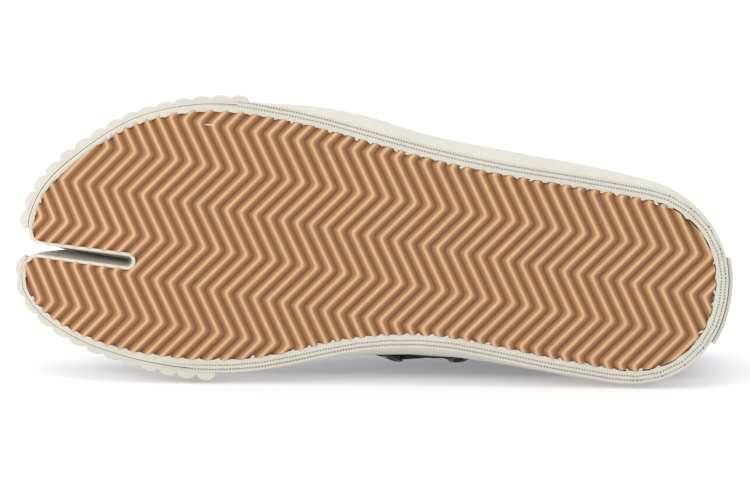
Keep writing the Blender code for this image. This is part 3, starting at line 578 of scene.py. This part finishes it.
# Bumpers: two moulded strips of the same rubber with half-round ribs that run up the side,
# cemented over the tape round the toes.
RIBS_SHARP, RIBS_HOLLOW = 62, 25
BACK_PROBE, BACK_CLOSER, BACK_IN = 0.3, 0.12, 0.29
trim_rubber = white_rubber("trim_rubber", None)
for toe in ("big_toe", "small_toes"):
    ribs = smoothed(f"bumper_{toe}", 3, RIBS_SHARP, RIBS_HOLLOW)
    hug_toes(ribs)
    for vert in ribs.verts:
        vert.co = settled(vert.co)
    ribs.normal_update()
    flat = seen_from_below(ribs)
    ways = np.array([vert.normal[:2] for vert in ribs.verts])
    closer = nearest_on_outline(flat)[0] - nearest_on_outline(flat + ways * BACK_PROBE)[0]
    for vert, near in zip(ribs.verts, closer):
        if near > BACK_CLOSER:
            vert.co += flat_way(vert).normalized() * BACK_IN * MM
    add_piece(f"toe_ribs_{toe}", ribs, [trim_rubber], "off_white_rubber", f"bumper_{toe}", sharp=35)

# Heel patch: a small rectangle of the same off-white rubber, cut from sheet and left bare.
# It is cemented over the joint of the tape and pressed to the curve of the heel.
patch = smoothed("heel_patch", 3)
add_piece("heel_label_blank", patch, [trim_rubber], "off_white_rubber", "heel_patch", sharp=40)

# Upper: black cotton canvas over a pale drill lining, sewn round a split-toe last and turned in
# under the insole. Its bottom edge is hidden behind the rubber.
CANVAS, LINED, CUT_EDGE = 0, 1, 2
SKIN_TURN, RIM_ABOVE = math.radians(55), 27.0
WAIST_LINE, SEEN_LEAN, VENT_ROOM = ((6.5, 59.0), (47.7, 39.9)), 0.026, 10.0
BELLY_FROM_Y, BELLY_FROM_Z, BELLY_TO_Z = 20.0, 26.0, 58.0
BELLY_STEP, BELLY_REACH = 3.0, ((-6.0, 8.0, 56.0, 72.0), (0.0, 1.0, 1.0, 0.0))
BELLY_LEVELS, BELLY_MOST = ((25.0, 31.0, 48.0, 60.0), (0.0, 1.0, 1.0, 0.0)), (-2.0, 2.5)
BELLY_SIDE_Y, BELLY_EASE, OFF_FLOOR = 15.0, 12.0, 0.2
VAMP_CREASES = ((-54.0, 2.4, 0.9), (-63.0, 2.0, 0.7), (-44.0, 2.2, 0.4))
CREASE_LEVEL, CREASE_EASE, CREASE_MIDDLE_Y, CREASE_BOW = 30.0, 14.0, 10.0, 0.004
CREASE_WAVE, CREASE_WAVES, RIDGE_SHARE, RIDGE_BEHIND, RIDGE_HALF = 1.2, 0.16, 0.45, 4.5, 2.6
CANVAS_BLACK, CANVAS_WORN, CANVAS_PITCH = (0.004, 0.004, 0.0045, 1), (0.02, 0.02, 0.021, 1), 0.85
DRILL_SHADE, DRILL_PALE, DRILL_PITCH = (0.5, 0.47, 0.4, 1), (0.66, 0.63, 0.55, 1), 0.6
SLUBS, FADES, WEAVE_SHOWS, SLUB_SHOWS, FADE_SHOWS = 700, 30, 0.4, 0.25, 0.12
WEAVE_DEEP, WEAVE_STRENGTH, SLUB_HIGH = 0.18, 0.8, 0.5
CANVAS_ROUGH, DRILL_ROUGH = 0.86, 0.9


def skin_from(seed):
    """Faces that can be reached without crossing a sharp edge."""
    found, fresh = {seed}, [seed]
    while fresh:
        face = fresh.pop()
        for edge in face.edges:
            for other in edge.link_faces:
                if other not in found and edge.calc_face_angle(math.pi) < SKIN_TURN:
                    found.add(other)
                    fresh.append(other)
    return found


upper = copy_of("upper")
upper.normal_update()
outer_skin = skin_from(min(upper.faces, key=lambda face: face.calc_center_median().y))
rest = [face for face in upper.faces if face not in outer_skin]
inner_skin = skin_from(max(rest, key=lambda face: face.calc_area()))
for face in upper.faces:
    face.material_index = CANVAS if face in outer_skin else LINED if face in inner_skin else CUT_EDGE
bmesh.ops.join_triangles(upper, faces=upper.faces, cmp_materials=True, **JOIN_LIMITS)
crease = upper.edges.layers.float.new("crease_edge")
for edge in upper.edges:
    edge[crease] = 1.0 if len({face.material_index for face in edge.link_faces}) > 1 else 0.0
upper = round_off(upper, 2)
for vert in upper.verts:
    vert.co = settled(vert.co)


def corners_of(node):
    """Corners of a solid as rows of a table, upright in the shoe's own axes."""
    solid = copy_of(node)
    points = np.array([vert.co[:] for vert in solid.verts])
    solid.free()
    return points


waist = np.array([
    vert.co[:] for vert in upper.verts
    if vert.co.y > BELLY_FROM_Y * MM and BELLY_FROM_Z * MM < vert.co.z < BELLY_TO_Z * MM
]) / MM
for vent in ("eyelet_vent_1", "eyelet_vent_2"):
    middle = corners_of(vent).mean(0) / MM
    waist = waist[np.linalg.norm(waist - middle, axis=1) > VENT_ROOM]
(start_x, end_x), (start_y, end_y) = WAIST_LINE
slope = (end_y - start_y) / (end_x - start_x)
reach_x = np.arange(BELLY_REACH[0][0], BELLY_REACH[0][-1] + 1.0, BELLY_STEP)
short = []
for x in reach_x:
    beside = waist[np.abs(waist[:, 0] - x) < BELLY_STEP]
    wanted = start_y + slope * (x - start_x)
    missing = np.clip(wanted - (beside[:, 1] - SEEN_LEAN * beside[:, 2]).max(), *BELLY_MOST)
    short.append(float(np.interp(x, *BELLY_REACH)) * float(missing))


def bellied(place):
    """Where a place lies once the canvas bellies out evenly past the rubber at the inner waist."""
    x, y, z = place / MM
    share = float(np.interp(z, *BELLY_LEVELS)) * clamped((y - BELLY_SIDE_Y) / BELLY_EASE)
    moved = place + Vector((0, float(np.interp(x, reach_x, short)) * share, 0)) * MM
    under = OFF_FLOOR * MM - (lying @ moved).z
    return moved - Vector((0, max(0.0, under) if share > 0 else 0.0, 0))


for vert in upper.verts:
    vert.co = bellied(vert.co)
upper.normal_update()
for vert in upper.verts:
    x, y, z = vert.co / MM
    top = clamped((z - CREASE_LEVEL) / CREASE_EASE)
    for middle, half_wide, deep in VAMP_CREASES:
        bow = CREASE_BOW * (y - CREASE_MIDDLE_Y) ** 2
        bent = x - middle - bow - CREASE_WAVE * math.sin(y * CREASE_WAVES)
        ridge = RIDGE_SHARE * deep * math.exp(-(((bent - RIDGE_BEHIND) / RIDGE_HALF) ** 2))
        dip = deep * math.exp(-((bent / half_wide) ** 2)) - ridge
        facing = vert.normal if vert.normal.z > 0 else -vert.normal
        vert.co -= facing * dip * top * MM
upper.normal_update()
outer_shape = BVHTree.FromBMesh(upper)
rim = in_order([
    edge for edge in upper.edges
    if {face.material_index for face in edge.link_faces} == {CANVAS, CUT_EDGE}
    and edge.verts[0].co.z > RIM_ABOVE * MM
])
rim_places = [vert.co.copy() for vert in rim]
rim_out = []
for vert in rim:
    normals = [face.normal for face in vert.link_faces if face.material_index == CANVAS]
    rim_out.append(sum(normals, Vector()).normalized())
for face in upper.faces:
    if face.material_index == CUT_EDGE:
        face.material_index = CANVAS


def woven(name, colour, worn, pitch, roughness):
    """Plain weave, with threads over and under each other, and faint slubs."""
    material, wire = new_finish(name)
    x, y, z = (wire.shoe_axis(axis) for axis in range(3))
    turns = 2 * math.pi / (pitch * MM)
    warp = wire.math("SINE", x * turns)
    weft = wire.math("SINE", (y + z) * turns)
    weave = warp * weft * 0.5 + 0.5
    slub = wire.noise(SLUBS, 3).between(0.3, 0.75)
    fade = wire.noise(FADES, 3).between(0.35, 0.75)
    tone = (weave * WEAVE_SHOWS + slub * SLUB_SHOWS + fade * FADE_SHOWS).mix(colour, worn)
    threads = wire.bump(weave + slub * SLUB_HIGH, WEAVE_DEEP * MM, WEAVE_STRENGTH)
    sheen = {"Sheen_Weight": 0.06, "Sheen_Roughness": 0.4}
    coat(wire, tone, roughness, Normal=threads, Specular_IOR_Level=0.18, **sheen)
    return material


black_canvas = woven("black_canvas_weave", CANVAS_BLACK, CANVAS_WORN, CANVAS_PITCH, CANVAS_ROUGH)
lining = woven("lining_drill", DRILL_SHADE, DRILL_PALE, DRILL_PITCH, DRILL_ROUGH)
add_piece("canvas_upper", upper, [black_canvas, lining], "black_canvas", "upper", sharp=60)

# Edge binding: a narrow tape of the same canvas, folded over the raw edge of the upper and sewn on.
# It runs in one loop round the collar and down both sides of the throat.
BINDING_WIDE, BINDING_THICK, WALL, ROUND_SIDES = 1.9, 1.45, 1.8, 10
ROUND_TURNS = np.linspace(0, 2 * math.pi, ROUND_SIDES, endpoint=False)
ROUND_SECTION = [(math.cos(turn), math.sin(turn)) for turn in ROUND_TURNS]


def sweep(bm, places, sides, ups, wide, thick, section, closed=False):
    """Draws a section along a run of places, each with its own directions and width."""
    frames = []
    for place, side, up, half in zip(places, sides, ups, wide):
        onward = side.cross(up).normalized()
        axes = Matrix((side * half, up * thick, onward * MM)).transposed().to_4x4()
        frames.append(Matrix.Translation(place) @ axes)
    corners = [bm.verts.new(frames[0] @ Vector((a, b, 0))) for a, b in section]
    first = [bm.edges.new((corners[i - 1], corners[i])) for i in range(len(corners))]
    ring = first
    for here, there in zip(frames, frames[1:]):
        corners, ring = grow_row(bm, ring)
        bmesh.ops.transform(bm, matrix=there @ here.inverted(), verts=corners)
    if closed:
        bmesh.ops.bridge_loops(bm, edges=first + ring)
    else:
        bmesh.ops.edgeloop_fill(bm, edges=first)
        bmesh.ops.edgeloop_fill(bm, edges=ring)
    bmesh.ops.recalc_face_normals(bm, faces=bm.faces)


binding = bmesh.new()
middles, rim_sides, rim_ups = [], [], []
for i, (place, outward) in enumerate(zip(rim_places, rim_out)):
    onward = (rim_places[(i + 1) % len(rim_places)] - rim_places[i - 1]).normalized()
    side = (outward - onward * outward.dot(onward)).normalized()
    middles.append(place - side * WALL / 2 * MM)
    rim_sides.append(side)
    rim_ups.append(onward.cross(side).normalized())
wide = [BINDING_THICK * MM] * len(middles)
sweep(binding, middles, rim_sides, rim_ups, wide, BINDING_WIDE * MM, ROUND_SECTION, True)
add_piece("edge_binding", binding, [black_canvas], "black_canvas")

# Stitching: dark cotton thread, sewn in lockstitch by machine. One row follows the binding,
# and two rows hold the strip down the back of the heel.
STITCH_LONG, STITCH_GAP, STITCH_THICK, STITCH_PROUD = 2.6, 0.9, 0.42, 0.12
STITCH_IN, STITCH_PROBE, SEAM_END = 2.9, 3.0, 1.0
BACK_ROWS, BACK_LEVELS, BACK_FROM_X, FAR_BEHIND = (-8.0, 10.0), np.arange(27.0, 62.0, 2.0), 90.0, 200.0
FEWEST_PLACES = 4
THREAD_DARK, THREAD_WORN = (0.02, 0.02, 0.021, 1), (0.06, 0.06, 0.062, 1)
THREAD_TWISTS, THREAD_ROUGH = 900, 0.75


def sew(bm, places, outs):
    """Lays short rounded stitches along a run of places on the canvas."""
    runs = np.concatenate([[0], np.cumsum([(b - a).length for a, b in zip(places, places[1:])])]) / MM
    steps = np.array([place[:] for place in places])
    outs = np.array([out[:] for out in outs])
    for mark in np.arange(SEAM_END, runs[-1] - SEAM_END, STITCH_LONG + STITCH_GAP):
        one, two, middle = (
            Vector([np.interp(mark + ahead, runs, steps[:, axis]) for axis in range(3)])
            for ahead in (-STITCH_LONG / 2, STITCH_LONG / 2, 0)
        )
        out = Vector([np.interp(mark, runs, outs[:, axis]) for axis in range(3)]).normalized()
        onward = (two - one).normalized()
        side = onward.cross(out).normalized()
        axes = Matrix((onward * STITCH_LONG / 2, side * STITCH_THICK, out * STITCH_THICK))
        place = Matrix.Translation(middle + out * STITCH_PROUD * MM) @ axes.transposed().to_4x4()
        lengthways = place @ Matrix.Rotation(math.pi / 2, 4, "Y")
        bmesh.ops.create_uvsphere(bm, u_segments=6, v_segments=4, radius=MM, matrix=lengthways)


def canvas_gap(way):
    """How far places beside the rim are from the canvas, all together, up or down from it."""
    beside = (place + up * way * STITCH_PROBE * MM for place, up in zip(rim_places, rim_ups))
    return sum(outer_shape.find_nearest(place)[3] for place in beside)


stitches = bmesh.new()
down_way = min((-1, 1), key=canvas_gap)
sewn, sewn_out = [], []
for place, side, up in zip(rim_places, rim_sides, rim_ups):
    spot, normal, _, _ = outer_shape.find_nearest(place + up * down_way * STITCH_IN * MM + side * MM)
    sewn.append(spot)
    sewn_out.append(normal)
sew(stitches, sewn + sewn[:1], sewn_out + sewn_out[:1])
for across in BACK_ROWS:
    places, outs = [], []
    for level in BACK_LEVELS:
        start = Vector((FAR_BEHIND, across, level)) * MM
        spot, normal, _, _ = outer_shape.ray_cast(start, Vector((-1, 0, 0)))
        if spot and spot.x > BACK_FROM_X * MM:
            places.append(spot)
            outs.append(normal)
    if len(places) >= FEWEST_PLACES:
        sew(stitches, places, outs)
thread, wire = new_finish("dark_thread")
twist = wire.noise(THREAD_TWISTS, 2).mix(THREAD_DARK, THREAD_WORN)
coat(wire, twist, THREAD_ROUGH, Sheen_Weight=0.3)
add_piece("stitching", stitches, [thread], "black_canvas")

# Tongue: two layers of the same black canvas, cut to a rounded end and sewn together.
# It is sewn in under the foot of the throat and lies loose below the lace.
tongue = smoothed("tongue", 2)
tongue_shape = BVHTree.FromBMesh(tongue)
add_piece("canvas_tongue", tongue, [black_canvas], "black_canvas", "tongue", sharp=60)

# Eyelets: pressed metal rings painted black, rolled over on the face and clinched behind the canvas.
# Five pairs hold the lace, and two on the inner side let air into the arch.
RING_SECTION = (
    (2.2, 0.7), (2.4, 1.0), (3.0, 1.15), (3.8, 1.05), (4.3, 0.7), (4.4, 0.35), (2.8, 0.3),
    (2.8, -2.1), (3.5, -2.4), (3.4, -2.65), (2.6, -2.5), (2.2, -2.0),
)
RING_STEPS, FACE_FROM_MIDDLE, VENT_SUNK = 20, 0.23, 0.8
SHOE_MIDDLE = Vector((10.0, 5.0, 34.0)) * MM
PAINT_BLACK, PAINT_WORN = (0.012, 0.012, 0.013, 1), (0.12, 0.11, 0.1, 1)
PAINT_WEARS, WEAR_SHOWS, PAINT_ROUGH, PAINT_ROUGHER = 420, 0.5, 0.3, 0.25
rings = bmesh.new()
eyelet_places = {}
eyelet_nodes = [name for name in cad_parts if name.startswith("eyelet_")]
for name in eyelet_nodes:
    points = corners_of(name)
    middle = Vector(points.mean(0))
    outward = Vector(np.linalg.eigh(np.cov((points - points.mean(0)).T))[1][:, 0])
    if outward.dot(middle - SHOE_MIDDLE) < 0:
        outward = -outward
    place = bellied(settled(middle + outward * FACE_FROM_MIDDLE * MM))
    if name == "eyelet_vent_1":
        place -= outward * VENT_SUNK * MM
    eyelet_places[name] = place, outward
    spare = bmesh.new()
    verts = [spare.verts.new(Vector((radius, 0, level)) * MM) for radius, level in RING_SECTION]
    edges = [spare.edges.new((verts[i - 1], verts[i])) for i in range(len(verts))]
    whole_turn = {"cent": (0, 0, 0), "axis": (0, 0, 1), "angle": 2 * math.pi, "steps": RING_STEPS}
    bmesh.ops.spin(spare, geom=verts + edges, use_merge=True, **whole_turn)
    bmesh.ops.recalc_face_normals(spare, faces=spare.faces)
    seat = Matrix.Translation(place) @ outward.to_track_quat("Z", "Y").to_matrix().to_4x4()
    bmesh.ops.transform(spare, matrix=seat, verts=spare.verts)
    holder = bpy.data.meshes.new("ring")
    spare.to_mesh(holder)
    spare.free()
    rings.from_mesh(holder)
    bpy.data.meshes.remove(holder)
ring_paint, wire = new_finish("black_ring_paint")
wear = wire.noise(PAINT_WEARS, 3).between(0.62, 0.7)
painted = (wear * WEAR_SHOWS).mix(PAINT_BLACK, PAINT_WORN)
coat(wire, painted, PAINT_ROUGH + wear * PAINT_ROUGHER, Coat_Weight=0.3)
add_piece("eyelet_rings", rings, [ring_paint], "eyelet_paint", *eyelet_nodes, sharp=50)

# Lace: one flat woven cotton lace. A bar lies over the foot of the throat, the two halves cross
# up to the top pair, and their hidden ends stop inside the top eyelets.
LACE_HALF, LACE_HALF_THICK, LACE_PITCH, ROWS = 2.9, 0.55, 1.1, 5
FLAT_SECTION = (
    (1, -0.4), (1, 0.4), (0.8, 1), (0, 1.15), (-0.8, 1),
    (-1, 0.4), (-1, -0.4), (-0.8, -1), (0, -1.15), (0.8, -1),
)
BORE_HALF, RING_HALF, BORE_DEEP, BORE_SHALLOW = 1.7, 2.3, 1.6, 0.9
EDGE_SEARCH, OVER_RING, OVER_RING_ACROSS = 8.0, 1.9, 1.2
CANVAS_ACROSS, CANVAS_SEARCH, OVER_CANVAS = 4.8, 3.0, 1.3
OVER_EDGE, PAST_EDGE, PAST_EDGE_HIGH = 1.5, 2.9, 0.2
UNDER_RING, UNDER_RING_ACROSS, UNDER_EDGE = 3.4, 2.2, 3.0
CROSS_SHARES, CROSS_HIGH, CROSS_HALF = (0.38, 0.44, 0.5, 0.56, 0.62), 1.25, 0.09
OVER_TONGUE, TONGUE_SEARCH, CURVE_STEPS, TWIST_LIMIT = 0.9, 30.0, 5, 0.2
LACE_BLACK, LACE_WORN, LACE_ROUGH = (0.018, 0.018, 0.019, 1), (0.06, 0.06, 0.062, 1), 0.82
rim_points = np.array([place[:] for place in rim_places])


def rim_by(place):
    """The rim of the throat nearest a place: its point, its outward way, and its way into the throat."""
    i = int(np.argmin(((rim_points - np.array(place)) ** 2).sum(1)))
    into = rim_ups[i]
    if into.dot(rim_places[i] - place) < 0:
        into = -into
    return rim_places[i], rim_sides[i], into


def leave(name, across, outside):
    """Lace stops from inside an eyelet to the open throat, over its edge or under it."""
    place, out = eyelet_places[name]
    edge, edge_out, into = rim_by(place + across * EDGE_SEARCH * MM)
    if outside:
        spot, normal, _, _ = outer_shape.find_nearest(
            place + across * CANVAS_ACROSS * MM + out * CANVAS_SEARCH * MM
        )
        return [
            (place - out * BORE_DEEP * MM, out, BORE_HALF),
            (place + out * OVER_RING * MM + across * OVER_RING_ACROSS * MM, out, RING_HALF),
            (spot + normal * OVER_CANVAS * MM, normal, LACE_HALF),
            (edge + edge_out * OVER_EDGE * MM, edge_out, LACE_HALF),
            (edge + edge_out * PAST_EDGE_HIGH * MM + into * PAST_EDGE * MM, edge_out, LACE_HALF),
        ]
    return [
        (place - out * BORE_SHALLOW * MM, out, BORE_HALF),
        (place - out * UNDER_RING * MM + across * UNDER_RING_ACROSS * MM, out, RING_HALF),
        (edge - edge_out * UNDER_EDGE * MM, edge_out, LACE_HALF),
    ]


def crossing(start, end, start_outside, end_outside, over):
    """Places, up directions and half widths of the lace from one eyelet across to another."""
    (one, one_out), (two, two_out) = eyelet_places[start], eyelet_places[end]
    across = (two - one).normalized()
    stops = leave(start, across, start_outside)
    for share in CROSS_SHARES:
        line = one.lerp(two, share)
        blend = one_out.lerp(two_out, share).normalized()
        spot = tongue_shape.ray_cast(line + blend * TONGUE_SEARCH * MM, -blend)[0]
        hump = CROSS_HIGH * over * math.exp(-(((share - 0.5) / CROSS_HALF) ** 2))
        stops.append(((spot if spot else line) + blend * (OVER_TONGUE + hump) * MM, blend, LACE_HALF))
    return stops + leave(end, -across, end_outside)[::-1]


def curved(stops):
    """Evenly eased run through the stops."""
    places = [stops[0][0], *[stop[0] for stop in stops], stops[-1][0]]
    out = []
    for i in range(len(stops) - 1):
        a, b, c, d = places[i : i + 4]
        last = i == len(stops) - 2
        for step in range(CURVE_STEPS + 1 if last else CURVE_STEPS):
            t = step / CURVE_STEPS
            square, cube = (2 * a - 5 * b + 4 * c - d) * t * t, (3 * b - a - 3 * c + d) * t**3
            place = 0.5 * (2 * b + (c - a) * t + square + cube)
            up = stops[i][1].lerp(stops[i + 1][1], t).normalized()
            out.append((place, up, stops[i][2] * (1 - t) + stops[i + 1][2] * t))
    return out


lace = bmesh.new()
runs = [("eyelet_medial_1", "eyelet_lateral_1", True, True, 0)]
for row in range(1, ROWS):
    for one, two, over in (("medial", "lateral", row % 2), ("lateral", "medial", 1 - row % 2)):
        runs.append((f"eyelet_{one}_{row}", f"eyelet_{two}_{row + 1}", row > 1, False, over))
for run in runs:
    stops = curved(crossing(*run))
    places = [stop[0] for stop in stops]
    sides, ups = [], []
    for i, (place, up, _) in enumerate(stops):
        onward = places[min(i + 1, len(places) - 1)] - places[max(i - 1, 0)]
        side = up.cross(onward)
        if side.length < 1e-7 or (sides and side.normalized().dot(sides[-1]) < TWIST_LIMIT):
            side = sides[-1] if sides else up.cross(Vector((1, 0, 0)))
        side.normalize()
        sides.append(side)
        ups.append(onward.cross(side).normalized())
    wide = [stop[2] * MM for stop in stops]
    sweep(lace, places, sides, ups, wide, LACE_HALF_THICK * MM, FLAT_SECTION)
lace_cotton = woven("lace_cotton_weave", LACE_BLACK, LACE_WORN, LACE_PITCH, LACE_ROUGH)
add_piece("lace_run", lace, [lace_cotton], "lace_cotton", "lace", sharp=70)

# Footbed: a thin cushioned board covered with pale cotton, cut to the split-toe shape of the last.
# It is laid in through the collar over the turned-in edge of the upper.
COTTON_SHADE, COTTON_PALE = (0.5, 0.48, 0.43, 1), (0.68, 0.66, 0.6, 1)
COTTON_PITCH, COTTON_ROUGH = 0.7, 0.92
footbed_cotton = woven("footbed_cotton", COTTON_SHADE, COTTON_PALE, COTTON_PITCH, COTTON_ROUGH)
footbed = smoothed("insole", 1)
add_piece("footbed", footbed, [footbed_cotton], "footbed_cloth", "insole", sharp=60)

# Studio: a pale floor that runs far back, soft light from all round and from the upper left,
# and a camera with a long lens that looks straight at the tread, a little from the outer side.
PIXEL_MM, PHOTO_WIDE, SENSOR_WIDE = 0.4045, 750, 36.0
CAMERA_AWAY, CAMERA_TO_OUTER_SIDE, PHOTO_TURN = 3.0, math.radians(1.5), math.radians(10.25)
FLOOR_HALF, FLOOR_GLOW, FLOOR_GLOW_COLOUR = 6.0, 0.27, (0.97, 0.96, 1.0, 1)
PAPER_SHADE, PAPER_PALE = (0.7, 0.697, 0.706, 1), (0.72, 0.717, 0.726, 1)
PAPER_CLOUDS, PAPER_ROUGH = 3, 0.9
SKY_WHITE, SKY_STRENGTH = (1.0, 1.0, 1.0, 1), 0.95
floor = bmesh.new()
bmesh.ops.create_grid(floor, x_segments=1, y_segments=1, size=FLOOR_HALF)
floor_object = plain_object("studio_floor", floor)
pale, wire = new_finish("floor_paper")
paper = wire.noise(PAPER_CLOUDS, 2).between(0.2, 0.8).mix(PAPER_SHADE, PAPER_PALE)
coat(wire, paper, PAPER_ROUGH, Emission_Color=FLOOR_GLOW_COLOUR, Emission_Strength=FLOOR_GLOW)
floor_object.data.materials.append(pale)

sky = bpy.data.worlds.new("studio")
sky.use_nodes = True
glow = sky.node_tree.nodes["Background"].inputs
glow["Color"].default_value, glow["Strength"].default_value = SKY_WHITE, SKY_STRENGTH
bpy.context.scene.world = sky


def soft_box(name, place, aim, size, power, colour):
    light = bpy.data.lights.new(name, "AREA")
    light.shape, light.size, light.energy, light.color = "DISK", size, power, colour
    obj = bpy.data.objects.new(name, light)
    bpy.context.scene.collection.objects.link(obj)
    obj.location = place
    obj.rotation_euler = (Vector(aim) - Vector(place)).to_track_quat("-Z", "Y").to_euler()


soft_box("key_light", (-1.1, -0.9, 0.8), (0, 0, 0.05), size=0.6, power=6, colour=(1.0, 0.98, 0.95))
soft_box("top_light", (0.0, 0.5, 2.2), (0, 0.3, 0), size=2.4, power=18, colour=(0.97, 0.985, 1.0))

camera = bpy.data.cameras.new("camera")
camera.sensor_width = SENSOR_WIDE
camera.lens = SENSOR_WIDE * CAMERA_AWAY / (PIXEL_MM * PHOTO_WIDE * MM)
camera_object = bpy.data.objects.new("camera", camera)
bpy.context.scene.collection.objects.link(camera_object)
look = Vector((0, -math.sin(CAMERA_TO_OUTER_SIDE), -math.cos(CAMERA_TO_OUTER_SIDE)))
photo_up = -Vector((math.sin(PHOTO_TURN), math.cos(PHOTO_TURN), 0))
turned = lying.to_3x3()
behind, up = turned @ look, turned @ photo_up
right = up.cross(behind).normalized()
up = behind.cross(right).normalized()
facing = Matrix((right, up, behind)).transposed().to_4x4()
camera_object.matrix_world = Matrix.Translation(lying.translation + behind * CAMERA_AWAY) @ facing
bpy.context.scene.camera = camera_object
bpy.context.scene.view_settings.view_transform = "Standard"
